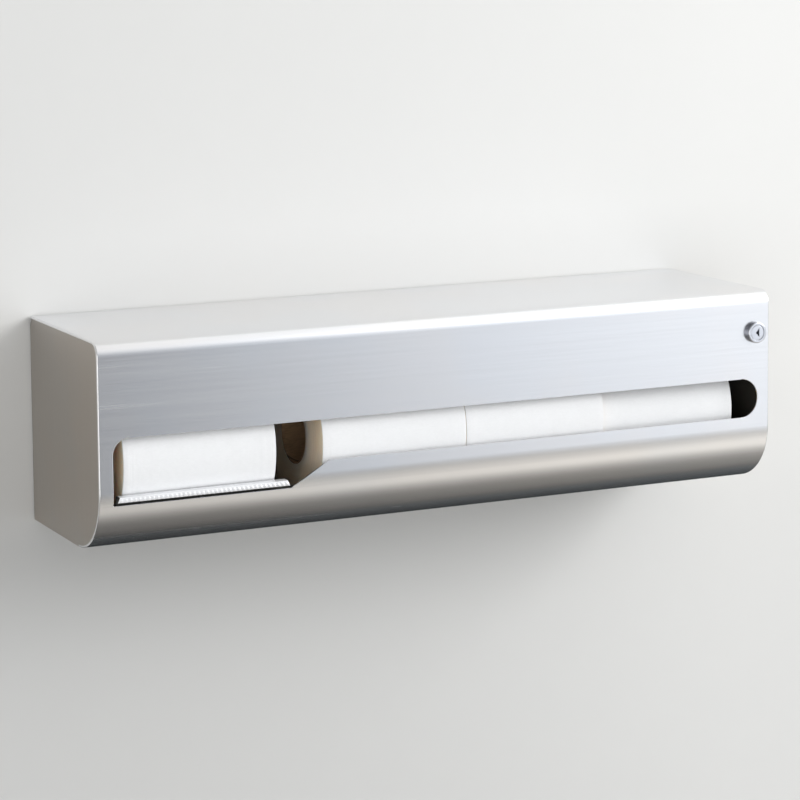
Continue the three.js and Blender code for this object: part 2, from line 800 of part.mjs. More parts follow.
// Assembly
function buildBase() {
  const base = new THREE.Group();
  const trayHoles = holesFor(trayScrewSeats, trayShank, towardsFront);
  const rivetHoles = holesFor(bracketRivetSeats, bracketShank, towardsFront);
  const cutterHoles = holesFor(cutterScrewSeats, cutterShank, towardsFront);
  const hingeHoles = hingeScrewSeats.map((seats) => holesFor(seats, hingeShank, alongZ));
  const strikeHoles = holesFor(strikeRivetSeats, strikeShank, towardsLeft);
  piece(base, 'wall_chassis', chassisPiece([...trayHoles, ...rivetHoles, ...hingeHoles.flat()]), 'darkPaint');
  piece(base, 'left_end_bracket', bracketPiece([...rivetHoles, bumperHole(-1)]), 'darkPaint');
  const rightBracket = cut(mirrored(bracketPiece([])), [...rivetHoles, bumperHole(1), ...strikeHoles]);
  piece(base, 'right_end_bracket', rightBracket, 'darkPaint');
  piece(base, 'roll_tray', trayPiece([...trayHoles, ...cutterHoles]), 'darkPaint');
  piece(base, 'cutter_strip', cutterPiece(cutterHoles), 'cutterSteel');
  piece(base, 'lock_strike', lockStrike(strikeHoles), 'plainSteel');
  ['left', 'right'].forEach((side, i) => {
    piece(base, `${side}_hinge_fixed_leaf`, fixedLeaf(hingeStarts[i], hingeHoles[i]), 'plainSteel');
    piece(base, `${side}_hinge_pin`, hingePin(hingeStarts[i]), 'plainSteel');
    piece(base, `${side}_bumper`, bumper(i === 0 ? -1 : 1), 'rubber');
  });
  addScrews(base, 'tray_screw', trayScrewSeats, trayShank, towardsFront);
  addScrews(base, 'bracket_rivet', bracketRivetSeats, bracketShank, towardsFront);
  addScrews(base, 'cutter_screw', cutterScrewSeats, cutterShank, towardsFront);
  addScrews(base, 'hinge_screw', hingeScrewSeats.flat(), hingeShank, alongZ);
  addScrews(base, 'strike_rivet', strikeRivetSeats, strikeShank, towardsLeft);
  return base;
}

function buildCover() {
  const cover = new THREE.Group();
  const panel = sidePanelPiece();
  piece(cover, 'front_cover', coverSheetPiece(), 'brushedSteel');
  piece(cover, 'left_side_panel', panel, 'panelSteel');
  piece(cover, 'right_side_panel', mirrored(panel), 'panelSteel');
  piece(cover, 'left_hinge_moving_leaf', movingLeaf(hingeStarts[0]), 'plainSteel');
  piece(cover, 'right_hinge_moving_leaf', movingLeaf(hingeStarts[1]), 'plainSteel');
  piece(cover, 'lock_barrel', lockBarrel(), 'chrome');
  piece(cover, 'lock_nut', lockNut(), 'plainSteel');
  return cover;
}

function buildLock() {
  const lock = new THREE.Group();
  piece(lock, 'lock_plug', lockPlug(), 'chrome');
  piece(lock, 'lock_cam', lockCam(), 'plainSteel');
  const seat = new THREE.Vector3(lockX, camFront + camSheet + fitGap, lockZ);
  piece(lock, 'cam_screw', screw(camSheet, alongY, seat), 'plainSteel');
  return lock;
}

function buildRoll(number, left, radius) {
  const roll = new THREE.Group();
  piece(roll, `roll_${number}_paper`, rollPaper(left, radius), 'paper');
  piece(roll, `roll_${number}_core`, rollCore(left, radius), 'cardboard');
  return roll;
}

function buildRolls() {
  const rolls = new THREE.Group();
  rolls.add(buildRoll(1, firstRollLeft, rollRadius));
  for (let i = 0; i < spareRollCount; i += 1) {
    const radius = i === spareRollCount - 1 ? lastRollRadius : rollRadius;
    rolls.add(buildRoll(i + 2, firstSpareLeft + i * (rollWidth + rollSpacing), radius));
  }
  return rolls;
}

const holder = new THREE.Group();
holder.add(buildBase(), buildCover(), buildLock(), buildRolls());
holder.position.set(-coverWidth / 2, 0, -coverHeight / 2);

export default holder;
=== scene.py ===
"""A wall-hung holder for four toilet rolls, in brushed stainless steel.

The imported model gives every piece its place, in metres. The wall is the plane y = 0, the front
faces -Y, and the origin is the middle of the holder's back.
"""

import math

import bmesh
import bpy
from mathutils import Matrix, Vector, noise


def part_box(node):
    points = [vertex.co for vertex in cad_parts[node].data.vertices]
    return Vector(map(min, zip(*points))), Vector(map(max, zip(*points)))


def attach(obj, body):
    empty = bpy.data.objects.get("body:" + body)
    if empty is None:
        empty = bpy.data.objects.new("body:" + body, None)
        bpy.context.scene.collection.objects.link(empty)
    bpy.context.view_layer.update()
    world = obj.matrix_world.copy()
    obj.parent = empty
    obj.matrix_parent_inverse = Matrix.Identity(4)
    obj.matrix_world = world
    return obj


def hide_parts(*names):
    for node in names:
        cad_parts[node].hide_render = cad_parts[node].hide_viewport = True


bl_info = {
    "name": "Four-roll toilet paper holder",
    "version": (1, 0, 0),
    "blender": (4, 5, 0),
    "location": "View3D > Sidebar > Roll holder",
    "description": "Builds the shell, rolls and lock round the packed model, and lights them",
    "category": "Object",
}

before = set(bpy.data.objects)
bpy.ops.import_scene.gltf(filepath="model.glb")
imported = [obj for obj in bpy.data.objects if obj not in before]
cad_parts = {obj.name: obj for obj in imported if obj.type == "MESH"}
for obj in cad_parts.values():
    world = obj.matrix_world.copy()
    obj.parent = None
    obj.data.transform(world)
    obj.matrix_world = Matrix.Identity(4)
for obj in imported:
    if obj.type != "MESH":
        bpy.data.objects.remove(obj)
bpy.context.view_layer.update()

MM = 0.001
AXIS_X = Vector((1, 0, 0))
AXIS_Y = Vector((0, 1, 0))
AXIS_Z = Vector((0, 0, 1))
WHITE = (1.0, 1.0, 1.0, 1.0)
BLACK = (0.0, 0.0, 0.0, 1.0)

# How far a tool reaches past the solid that it cuts.
OVERRUN = 2 * MM
# Points nearer to each other than this are one.
MERGE = 0.002 * MM
# Roundings of thin sheets and of turned pieces.
SHEET_EDGE = 0.15 * MM
TURNED_EDGE = 0.2 * MM
# Edges past these angles are shaded sharp, bevelled on a solid, or rounded as corners.
SHARP_DEGREES = 32
BEVEL_DEGREES = 40
CORNER_DEGREES = 60
# How many faces a bend has, and how many sides a turned piece.
STEPS = {
    "top_bend": 14, "bottom_bend": 40, "window_corner": 14, "slot_end": 32, "panel_corner": 12,
    "strip_bend": 5, "winding_edge": 5,
}
SIDES = {"winding": 144, "tube": 96, "lock": 96, "lock_hole": 64, "screw": 40}


def amount(label, description, default, **options):
    return bpy.props.FloatProperty(name=label, description=description, default=default, **options)


def length(label, description, millimetres):
    """A property that holds a length in metres and is written here in millimetres."""
    return amount(label, description, millimetres * MM, min=0.0, precision=5, unit="LENGTH")


def angle(label, description, degrees):
    """A property that holds an angle in radians and is written here in degrees."""
    return amount(label, description, math.radians(degrees), subtype="ANGLE")


def linear(level):
    """A display level from 0 to 255 as the linear value that a shader takes."""
    value = level / 255
    return value / 12.92 if value <= 0.04045 else ((value + 0.055) / 1.055) ** 2.4


def colour(label, description, red, green, blue):
    """A colour property, written in display levels from 0 to 255."""
    return bpy.props.FloatVectorProperty(
        name=label, description=description, subtype="COLOR", size=4, min=0.0, max=1.0,
        default=(linear(red), linear(green), linear(blue), 1.0),
    )


class ShellSizes(bpy.types.PropertyGroup):
    """Sizes of the bent cover, its window and its end panels."""

    sheet: length("Sheet", "Thickness of the cover's sheet", 1.5)
    top_bend: length("Top bend", "Outer radius of the bend between top and front", 10)
    bottom_bend: length("Bottom bend", "Outer radius of the bend under the front", 46)
    window_left: length("Window left", "From the cover's left end to the window", 10.5)
    window_right: length("Window right", "From the slot's round end to the cover's right end", 10)
    window_rise: length("Window rise", "Window's top edge above the axis of the rolls", 20)
    window_corner: length("Window corner", "Radius of the window's upper left corner", 12)
    sill_drop: length("Sill drop", "Window's sill below the start of the bottom bend", 10)
    slot_height: length("Slot height", "Height of the slot in front of the spare rolls", 29.5)
    deep_over_roll: length("Deep part", "Deep part of the window past the first roll", 9.5)
    diagonal_run: length("Diagonal run", "Length of the slope between sill and slot", 29)
    lock_margin: length("Lock margin", "From the lock's plug to the edge of its hole", 2)
    end_rounding: length("End rounding", "Polished rounding along the cover's two ends", 0.8)
    cut_rounding: length("Cut rounding", "Rounding of the window's and the lock hole's edges", 0.45)
    panel_gap: length("Panel gap", "Polished seam between an end panel and the cover", 0.04)
    panel_corner: length("Panel corner", "Radius of the end panel's upper back corner", 7)


class RollSizes(bpy.types.PropertyGroup):
    """Sizes that shape the paper rolls and their cores."""

    edge: length("Edge", "Rounding of the winding's outer edges", 0.55)
    core_wall: length("Core wall", "Thickness of the cardboard tube", 1)
    core_gap: length("Core gap", "Clearance between winding and tube", 0.1)
    sag: length("Sag", "How far the soft winding departs from a true cylinder", 0.5)
    end_wander: length("End wander", "How far single layers stand back in a winding's end", 0.45)
    seam_pitch: length("Seam pitch", "Length of one turn of the tube's spiral seam", 70)


class CutterSizes(bpy.types.PropertyGroup):
    """Sizes of the cutter strip, a bent channel with a row of small raised dots."""

    sheet: length("Sheet", "Thickness of the strip's sheet", 1)
    lowered: length("Lowered", "Strip's top below the top of its solid", 0.7)
    foot_gap: length("Foot gap", "Dark gap between the window's sill and the strip", 2)
    left_gap: length("Left gap", "Strip's left end from the left end of its solid", 1.6)
    right_gap: length("Right gap", "Strip's right end from the right end of its solid", 1)
    slant: length("Slant", "How far the ends lean in at the top", 2)
    dot_height: length("Dot height", "How far a dot stands out of the strip", 0.36)
    dot_pitch: length("Dot pitch", "From one dot to the next", 3.42)
    dot_rise: length("Dot rise", "Height of a dot along the strip's face", 2.6)


class LockSizes(bpy.types.PropertyGroup):
    """Sizes of the cam lock's visible face."""

    ring_lip: length("Ring lip", "How far the ring reaches past the barrel behind it", 0.7)
    ring_seat: length("Ring seat", "Clearance between the ring and the cover", 0.05)
    ring_rounding: length("Ring rounding", "Rounding of the lock's raised ring", 0.9)
    ring_gap: length("Ring gap", "Gap between the ring and the plug", 0.25)
    cam_gap: length("Cam gap", "Clearance between the plug's round body and the cam", 0.3)
    tang: length("Tang", "Side of the square tang that carries the cam", 5)
    keyway_height: length("Keyway height", "Height of the key slot", 6.8)
    keyway_width: length("Keyway width", "Width of the key slot", 3)
    keyway_depth: length("Keyway depth", "Depth of the key slot", 8)
    keyway_edge: length("Keyway edge", "Rounding of the key slot's mouth", 0.12)


class ScrewSizes(bpy.types.PropertyGroup):
    """Sizes of the pan-head screws and rivets."""

    head_height: length("Head height", "Height of a screw's or rivet's head", 1.4)
    shank_radius: length("Shank radius", "Radius of the shank", 1.5)
    recess_reach: length("Recess reach", "Length of one arm of the cross recess", 1.5)
    recess_width: length("Recess width", "Width of the cross recess", 0.65)
    recess_depth: length("Recess depth", "Depth of the cross recess", 0.9)


class FinishColours(bpy.types.PropertyGroup):
    """Colours of the finishes."""

    steel: colour("Steel", "Brushed stainless steel of the cover", 238, 238, 239)
    # The end panels' steel is darker and warmer than the cover's: partly a finish of its own,
    # partly painted shade on the holder's sides.
    panel: colour("Panel", "Steel of the end panels", 184, 177, 169)
    plain: colour("Zinc", "Zinc-plated hinges, screws and lock parts", 176, 178, 180)
    chrome: colour("Chrome", "Plated lock face", 222, 224, 230)
    # Painted shade: the darker colour given to the outer side of the lock's ring.
    chrome_side: colour("Chrome side", "Outer side of the lock's ring", 132, 134, 142)
    paint: colour("Dark paint", "Painted chassis, brackets and tray", 48, 45, 40)
    cutter: colour("Cutter", "Bright steel of the cutter strip", 242, 243, 245)
    rubber: colour("Rubber", "Bumpers", 34, 34, 34)
    paper: colour("Paper", "Outer layer of the rolls", 251, 252, 253)
    paper_end: colour("Paper end", "Wound layers seen at a roll's end", 248, 231, 210)
    card: colour("Card", "Cardboard tubes", 158, 130, 99)


class StudioSettings(bpy.types.PropertyGroup):
    """The camera, the lamp, the air, the wall and the floor."""

    camera_place: bpy.props.FloatVectorProperty(
        name="Camera place", description="Where the camera stands", size=3,
        default=(-0.9003, -1.9518, 0.3774), subtype="TRANSLATION", unit="LENGTH",
    )
    camera_pitch: angle("Pitch", "Camera's pitch, 90 degrees when it is level", 83.821)
    camera_roll: angle("Roll", "Camera's roll", -0.501)
    camera_yaw: angle("Yaw", "Camera's turn, negative to the right", -25.451)
    lens: amount("Lens", "Focal length in millimetres", 127.37, min=1.0)
    lens_shift: amount("Lens shift", "How far the lens is moved up, as a share of the frame", -0.25)
    key_power: amount("Key power", "Power of the large soft lamp", 178.0, min=0.0, unit="POWER")
    key_azimuth: angle("Key azimuth", "Lamp's direction, right of straight ahead", 56)
    key_elevation: angle("Key elevation", "Lamp's height above the holder as an angle", 22)
    key_distance: length("Key distance", "From the holder to the lamp", 5600)
    key_width: length("Key width", "Width of the lamp", 3200)
    key_height: length("Key height", "Height of the lamp", 2600)
    air_level: amount("Air level", "Brightness of the air around the stage", 0.92, min=0.0)
    fill_level: amount("Fill level", "Brightness of the low fill in front", 1.55, min=0.0)
    front_tint: colour("Front tint", "Cool cast of the light from the front", 235, 243, 255)
    wall_reach: length("Wall reach", "From the holder's middle to the wall's edges", 2400)
    wall_gap: length("Wall gap", "Gap between the holder's back and the wall", 0.2)
    wall_overlap: length("Wall overlap", "How far the wall reaches behind the chassis", 3)
    floor_drop: length("Floor drop", "From the holder's middle down to the floor", 900)
    floor_depth: length("Floor depth", "From the wall to the floor's front edge", 2600)
    card_drop: length("Card drop", "From the holder's middle down to the lower card", 450)
    card_reach: length("Card reach", "From the wall to the lower card's front edge", 1050)
    wall_colour: colour("Wall", "Painted wall", 241, 241, 239)
    floor_colour: colour("Floor", "Pale floor", 168, 167, 164)


class Field:
    """A socket of a node tree, with the arithmetic that the finishes use."""

    def __init__(self, painter, socket):
        self.painter = painter
        self.socket = socket

    def __add__(self, other):
        return self.painter.maths("ADD", self, other)

    def __sub__(self, other):
        return self.painter.maths("SUBTRACT", self, other)

    def __rsub__(self, other):
        return self.painter.maths("SUBTRACT", other, self)

    def __mul__(self, other):
        return self.painter.maths("MULTIPLY", self, other)

    def __truediv__(self, other):
        return self.painter.maths("DIVIDE", self, other)

    def __lt__(self, other):
        return self.painter.maths("LESS_THAN", self, other)

    __radd__ = __add__
    __rmul__ = __mul__


class Painter:
    """Adds nodes to the tree of a material or a world."""

    def __init__(self, owner):
        owner.use_nodes = True
        self.owner = owner
        self.tree = owner.node_tree
        self.tree.nodes.clear()

    def node(self, kind, settings, inputs, output=0):
        """Adds a node: its settings first, then the values or links of its sockets."""
        node = self.tree.nodes.new(kind)
        for name, value in settings.items():
            if name == "stops":
                set_stops(node.color_ramp, value)
            else:
                setattr(node, name, value)
        for key, value in inputs.items():
            if isinstance(value, Field):
                self.tree.links.new(value.socket, node.inputs[key])
            else:
                node.inputs[key].default_value = value
        return Field(self, node.outputs[output])

    def maths(self, operation, *values):
        return self.node("ShaderNodeMath", {"operation": operation}, dict(enumerate(values)))

    def object_place(self, scale=(1, 1, 1), centre=(0, 0, 0)):
        """Object coordinates measured from a centre and stretched along each axis."""
        place = self.node("ShaderNodeTexCoord", {}, {}, "Object")
        shift = [-middle * stretch for middle, stretch in zip(centre, scale)]
        sockets = {"Vector": place, "Location": shift, "Scale": scale}
        return self.node("ShaderNodeMapping", {}, sockets)

    def noise(self, vector, detail=2.0, roughness=0.5):
        sockets = {"Vector": vector, "Scale": 1.0, "Detail": detail, "Roughness": roughness}
        return self.node("ShaderNodeTexNoise", {}, sockets)

    def grain(self, cells, *texture):
        """Noise with so many cells to the metre, the same along each axis or one number each."""
        scale = cells if isinstance(cells, (tuple, list)) else (cells,) * 3
        return self.noise(self.object_place(scale), *texture)

    def rings(self, radius, cells):
        """Noise that changes with the radius alone."""
        return self.noise(self.node("ShaderNodeCombineXYZ", {}, {0: radius * cells}))

    def part(self, vector, axis):
        return self.node("ShaderNodeSeparateXYZ", {}, {0: vector}, axis)

    def distance(self, vector):
        return self.node("ShaderNodeVectorMath", {"operation": "LENGTH"}, {0: vector}, "Value")

    def spread(self, value, low, high):
        """A value that runs smoothly from 0 at low to 1 at high."""
        sockets = {"Value": value, "From Min": low, "From Max": high}
        return self.node("ShaderNodeMapRange", {"interpolation_type": "SMOOTHSTEP"}, sockets)

    def grey_ramp(self, value, levels):
        """A ramp of grey levels, given as pairs of place and level."""
        stops = [(place, (level, level, level, 1)) for place, level in levels]
        return self.node("ShaderNodeValToRGB", {"stops": stops}, {0: value})

    def mix(self, factor, first, second):
        settings = {"data_type": "RGBA", "clamp_factor": True}
        return self.node("ShaderNodeMix", settings, {0: factor, 6: first, 7: second}, 2)

    def shades(self, tint, factor, low, high):
        """A tint whose tone runs from low to high as the factor runs from 0 to 1."""
        return self.mix(factor, toned(tint, low), toned(tint, high))

    def bump(self, height, distance, normal=None):
        sockets = {"Height": height, "Distance": distance, "Strength": 1.0}
        if normal:
            sockets["Normal"] = normal
        return self.node("ShaderNodeBump", {}, sockets)

    def surface(self, **sockets):
        """A Principled shader whose sockets are named in words joined by underscores."""
        named = {name.replace("_", " "): value for name, value in sockets.items()}
        return self.node("ShaderNodeBsdfPrincipled", {}, named)

    def finished(self, shader):
        """Ends the tree in this shader and returns the material or world."""
        end = self.tree.nodes.new(f"ShaderNodeOutput{type(self.owner).__name__}")
        self.tree.links.new(shader.socket, end.inputs["Surface"])
        return self.owner

    def coated(self, **sockets):
        """Ends the tree in one Principled shader."""
        return self.finished(self.surface(**sockets))


def set_stops(ramp, stops):
    """Gives a colour ramp its stops, each a place and a colour."""
    while len(ramp.elements) > 1:
        ramp.elements.remove(ramp.elements[-1])
    for index, (place, tone) in enumerate(stops):
        stop = ramp.elements[0] if index == 0 else ramp.elements.new(place)
        stop.position = place
        stop.color = tone


def new_finish(name):
    return Painter(bpy.data.materials.new(name))


def toned(tint, red, green=None, blue=None):
    """A colour made lighter or darker by one factor, or each channel by its own."""
    factors = (red, red, red) if green is None else (red, green, blue)
    return [channel * factor for channel, factor in zip(tint, factors)] + [1.0]


def brushed_steel(name, tint, along, roughness, blotches):
    """Stainless steel with fine hairlines along one axis and a soft mottle."""
    paint = new_finish(name)

    def streaks(long, across, *texture):
        return paint.grain([long if axis == along else across for axis in range(3)], *texture)

    hairs = streaks(14, 2600, 3, 0.6)
    scratches = streaks(5, 640)
    bands = streaks(1.6, 90)
    clouds = paint.grain(9)
    weave = hairs * 0.5 + scratches * 0.3 + bands * 0.2
    brushed = paint.shades(tint, paint.spread(weave, 0.34, 0.66), 0.95, 1.04)
    warm = toned(tint, 1 + blotches, 1, 1 - blotches)
    cool = toned(tint, 1 - blotches, 1, 1 + blotches)
    cast = paint.mix(paint.spread(clouds, 0.4, 0.6), warm, cool)
    base = paint.mix(0.5, brushed, cast)
    rough = roughness - 0.05 + hairs * 0.05 + bands * 0.06
    relief = paint.bump(hairs, 0.0005 * MM, paint.bump(scratches, 0.0016 * MM))
    return paint.coated(Base_Color=base, Metallic=1.0, Roughness=rough, Normal=relief)


def plated_metal(name, tint, roughness, crystal):
    """Plated steel with a faint crystal mottle and fine scratches."""
    paint = new_finish(name)
    crystals = paint.grain(1 / crystal, 3, 0.6)
    wipes = paint.grain((60, 900, 420))
    base = paint.shades(tint, paint.spread(crystals, 0.35, 0.65), 0.84, 1.05)
    rough = roughness - 0.05 + crystals * 0.1 + wipes * 0.06
    relief = paint.bump(wipes, 0.02 * MM, paint.bump(crystals, 0.02 * MM))
    return paint.coated(Base_Color=base, Metallic=1.0, Roughness=rough, Normal=relief)


def satin_strip(name, tint):
    """Satin steel, drawn along its length."""
    paint = new_finish(name)
    drawn = paint.grain((30, 900, 900))
    wear = paint.grain((150, 400, 400))
    base = paint.shades(tint, drawn * 0.5 + wear * 0.5, 0.92, 1.02)
    rough = 0.36 + drawn * 0.1
    relief = paint.bump(drawn, 0.02 * MM)
    return paint.coated(Base_Color=base, Metallic=0.35, Roughness=rough, Normal=relief)


def turned_chrome(name, tint, centre, rim, painted_shade_tint):
    """Chrome plate with the fine rings of a lathe, and painted shade on the lock ring's outer side.
    """
    paint = new_finish(name)
    radius = paint.distance(paint.object_place((1, 0, 1), centre))
    rings = paint.rings(radius, 5200)
    smudges = paint.grain(260)
    face = paint.shades(tint, rings, 0.9, 1.0)
    # Painted shade: the ring's outermost band takes the darker colour.
    base = paint.mix(paint.spread(radius, rim - 0.25 * MM, rim - 0.05 * MM), face, painted_shade_tint)
    rough = 0.14 + rings * 0.08 + smudges * 0.1
    relief = paint.bump(rings, 0.006 * MM)
    return paint.coated(Base_Color=base, Metallic=1.0, Roughness=rough, Normal=relief)


def dark_paint(name, tint):
    """Baked paint with the fine ripple of a sprayed coat."""
    paint = new_finish(name)
    ripple = paint.grain(1400)
    wear = paint.grain(40, 4, 0.65)
    base = paint.shades(tint, paint.spread(wear, 0.4, 0.7), 0.9, 1.25)
    rough = 0.5 + wear * 0.16
    relief = paint.bump(ripple, 0.05 * MM)
    return paint.coated(Base_Color=base, Metallic=0.0, Roughness=rough, Normal=relief)


def moulded_rubber(name, tint):
    """Black rubber with open pores and a grey bloom."""
    paint = new_finish(name)
    pores = paint.grain(2200)
    bloom = paint.grain(180, 3)
    base = paint.shades(tint, bloom, 0.8, 1.5)
    rough = 0.72 + bloom * 0.2
    relief = paint.bump(pores, 0.04 * MM)
    return paint.coated(Base_Color=base, Roughness=rough, Normal=relief)


def soft_paper(name, tint, centre, half_width):
    """Creped tissue: crepe across the sheet, soft dimples, and creases near a roll's ends."""
    paint = new_finish(name)
    crepe = paint.grain((420, 1900, 1900), 2, 0.55)
    dimples = paint.grain(230)
    folds = paint.grain((330, 9, 9), 3, 0.55)
    waves = paint.grain((26, 34, 34))
    along = paint.part(paint.object_place((1 / half_width,) * 3, centre), "X")
    near_end = paint.spread(along * along, 0.45, 1.0)
    fibre = paint.spread(crepe * 0.6 + dimples * 0.4, 0.35, 0.65)
    base = paint.shades(tint, fibre, 0.97, 1.0)
    rough = 0.9 + crepe * 0.08
    creases = folds * (near_end * 0.8 + 0.2)
    relief = paint.bump(waves, 0.8 * MM)
    for height, distance in ((creases, 0.35), (dimples, 0.08), (crepe, 0.035)):
        relief = paint.bump(height, distance * MM, relief)
    return paint.coated(Base_Color=base, Roughness=rough, Normal=relief, Diffuse_Roughness=0.35)


def wound_end(name, tint, centre):
    """The end of a winding: many thin layers in rings round the roll's axis."""
    paint = new_finish(name)
    flat = paint.object_place((0, 1, 1), centre)
    wander = paint.grain(30)
    radius = paint.distance(flat) + wander * (1.6 * MM)
    layers = paint.rings(radius, 3600)
    groups = paint.rings(radius, 520)
    fibres = paint.grain(900)
    tone = paint.spread(layers * 0.45 + groups * 0.35 + fibres * 0.2, 0.34, 0.66)
    base = paint.shades(tint, tone, 0.88, 1.03)
    relief = paint.bump(layers, 0.09 * MM, paint.bump(groups, 0.3 * MM))
    return paint.coated(
        Base_Color=base, Roughness=0.94, Normal=relief, Subsurface_Weight=1.0,
        Subsurface_Radius=(1.0, 0.84, 0.68), Subsurface_Scale=26 * MM,
    )


def spiral_card(name, tint, centre, pitch):
    """Grey-brown card wound in a spiral, with a dark seam."""
    paint = new_finish(name)
    place = paint.object_place((1, 1, 1), centre)
    across = paint.maths("ARCTAN2", paint.part(place, "Z"), paint.part(place, "Y"))
    turns = across / (2 * math.pi) + paint.part(place, "X") / pitch
    seam = paint.maths("FRACT", turns) < 0.03
    fibres = paint.grain((260, 1100, 1100), 3, 0.6)
    stains = paint.grain(50)
    tone = paint.spread(fibres * 0.6 + stains * 0.4, 0.34, 0.66)
    base = paint.mix(seam, paint.shades(tint, tone, 0.76, 1.12), toned(tint, 0.42))
    relief = paint.bump(fibres - seam, 0.08 * MM)
    return paint.coated(Base_Color=base, Roughness=0.9, Normal=relief)


# The stage paint's tone is scaled from -TONE_REACH to TONE_REACH across, and upwards over one
# metre that starts TONE_RISE below the holder's middle.
TONE_REACH = 2.4
TONE_RISE = 0.5


def see_through_back(name, tint, cells, across=((0, 1),), upward=((0, 1),)):
    """Paint for the stage: plain from the front, and clear from behind.

    Its tone may run in steps across the stage's width and by the height about the holder, as
    painted light and shade.
    """
    paint = new_finish(name)
    mottle = paint.grain(cells, 3)
    place = paint.object_place((1 / (2 * TONE_REACH), 1, 1), (-TONE_REACH, 0, -TONE_RISE))
    tone = paint.grey_ramp(paint.part(place, "X"), across)
    tone = tone * paint.grey_ramp(paint.part(place, "Z"), upward)
    base = paint.mix(tone * (mottle * 0.015 + 0.985), BLACK, tint)
    front = paint.surface(Base_Color=base, Roughness=0.95, Specular_IOR_Level=0.2)
    clear = paint.node("ShaderNodeBsdfTransparent", {}, {})
    behind = paint.node("ShaderNodeNewGeometry", {}, {}, "Backfacing")
    return paint.finished(
        paint.node("ShaderNodeMixShader", {}, {0: behind, 1: front, 2: clear})
    )


def shaded_card(name, tint, axis, levels, start, end):
    """Matt card for a painted reflection: it runs through greys along an axis, and grows lighter to
    the right as painted light from the lamp's side.
    """
    paint = new_finish(name)
    place = paint.node("ShaderNodeTexCoord", {}, {}, "Object")
    tone = paint.grey_ramp((paint.part(place, axis) - start) / (end - start), levels)
    # Painted light: the tone rises towards the lamp's side.
    tone = tone * (paint.part(place, "X") * 0.6 + 0.97)
    base = paint.mix(tone, BLACK, tint)
    return paint.coated(Base_Color=base, Roughness=1.0, Specular_IOR_Level=0.0)


def finish_library(context):
    """The finishes that do not depend on one piece's place, made once."""
    colours = context.scene.roll_holder_colours
    if "brushed_cover" not in bpy.data.materials:
        brushed_steel("brushed_cover", colours.steel, 0, 0.25, 0.015)
        # The end panels' darker steel: partly their own finish, partly painted shade.
        brushed_steel("brushed_panel", colours.panel, 2, 0.34, 0.035)
        plated_metal("zinc_plate", colours.plain, 0.36, 3 * MM)
        satin_strip("bright_cutter", colours.cutter)
        dark_paint("dark_paint", colours.paint)
        moulded_rubber("moulded_rubber", colours.rubber)
    return bpy.data.materials


class Pen:
    """Draws a chain of edges, one straight run or round bend after another."""

    def __init__(self, *start):
        self.bm = bmesh.new()
        self.first = self.bm.verts.new(start)
        self.tip = self.first

    def line(self, *end):
        made = bmesh.ops.extrude_vert_indiv(self.bm, verts=[self.tip])
        self.tip = made["verts"][0]
        self.tip.co = end

    def bend(self, centre, axis, degrees, steps):
        made = bmesh.ops.spin(
            self.bm, geom=[self.tip], cent=centre, axis=axis, angle=math.radians(degrees),
            steps=steps,
        )
        self.tip = verts_of(made, "geom_last")[0]

    def loop(self):
        """Joins the chain's two ends."""
        self.bm.edges.new((self.tip, self.first))
        return self.bm

    def filled(self):
        """Joins the chain's two ends and fills it with a face."""
        bm = self.loop()
        bmesh.ops.remove_doubles(bm, verts=bm.verts[:], dist=MERGE)
        bmesh.ops.contextual_create(bm, geom=bm.edges[:])
        return bm


def verts_of(made, key="geom"):
    return [part for part in made[key] if isinstance(part, bmesh.types.BMVert)]


def drawn_out(bm, travel):
    """Draws a flat face out into a closed prism."""
    made = bmesh.ops.extrude_face_region(bm, geom=bm.faces[:], use_keep_orig=True)
    bmesh.ops.translate(bm, vec=travel, verts=verts_of(made))
    bmesh.ops.recalc_face_normals(bm, faces=bm.faces[:])
    return bm


def turned(points, sides):
    """Turns a chain of (radius, height) points about Z. A chain off the axis is closed first."""
    pen = Pen(points[0][0], 0, points[0][1])
    for radius, height in points[1:]:
        pen.line(radius, 0, height)
    return spun(pen.bm if points[0][0] == 0 else pen.loop(), sides)


def spun(bm, sides):
    bmesh.ops.spin(
        bm, geom=bm.verts[:] + bm.edges[:], cent=(0, 0, 0), axis=AXIS_Z,
        angle=2 * math.pi, steps=sides, use_merge=True,
    )
    bmesh.ops.remove_doubles(bm, verts=bm.verts[:], dist=MERGE)
    bmesh.ops.recalc_face_normals(bm, faces=bm.faces[:])
    return bm


def laid(bm, direction, place):
    """Turns Z to a direction and moves the mesh to its place."""
    turn = AXIS_Z.rotation_difference(direction).to_matrix().to_4x4()
    bmesh.ops.transform(bm, matrix=Matrix.Translation(place) @ turn, verts=bm.verts[:])
    return bm


def sharp_edges(bm, degrees=SHARP_DEGREES):
    limit = math.radians(degrees)
    return [
        edge for edge in bm.edges if len(edge.link_faces) == 2 and edge.calc_face_angle() > limit
    ]


def rounded(bm, edges, width, segments=2):
    bmesh.ops.bevel(
        bm, geom=edges, offset=width, offset_type="OFFSET", segments=segments,
        profile=0.5, affect="EDGES", clamp_overlap=True, material=-1,
    )
    return bm


def linked(name, data):
    """A new object in the scene."""
    made = bpy.data.objects.new(name, data)
    bpy.context.scene.collection.objects.link(made)
    return made


def mesh_object(bm, name, finishes=()):
    """Turns a bmesh into an object."""
    mesh = bpy.data.meshes.new(name)
    bm.to_mesh(mesh)
    bm.free()
    for finish in finishes:
        mesh.materials.append(finish)
    return linked(name, mesh)


def modify(piece, name, kind, **settings):
    """Gives a piece a modifier with these settings."""
    modifier = piece.modifiers.new(name, kind)
    for key, value in settings.items():
        setattr(modifier, key, value)


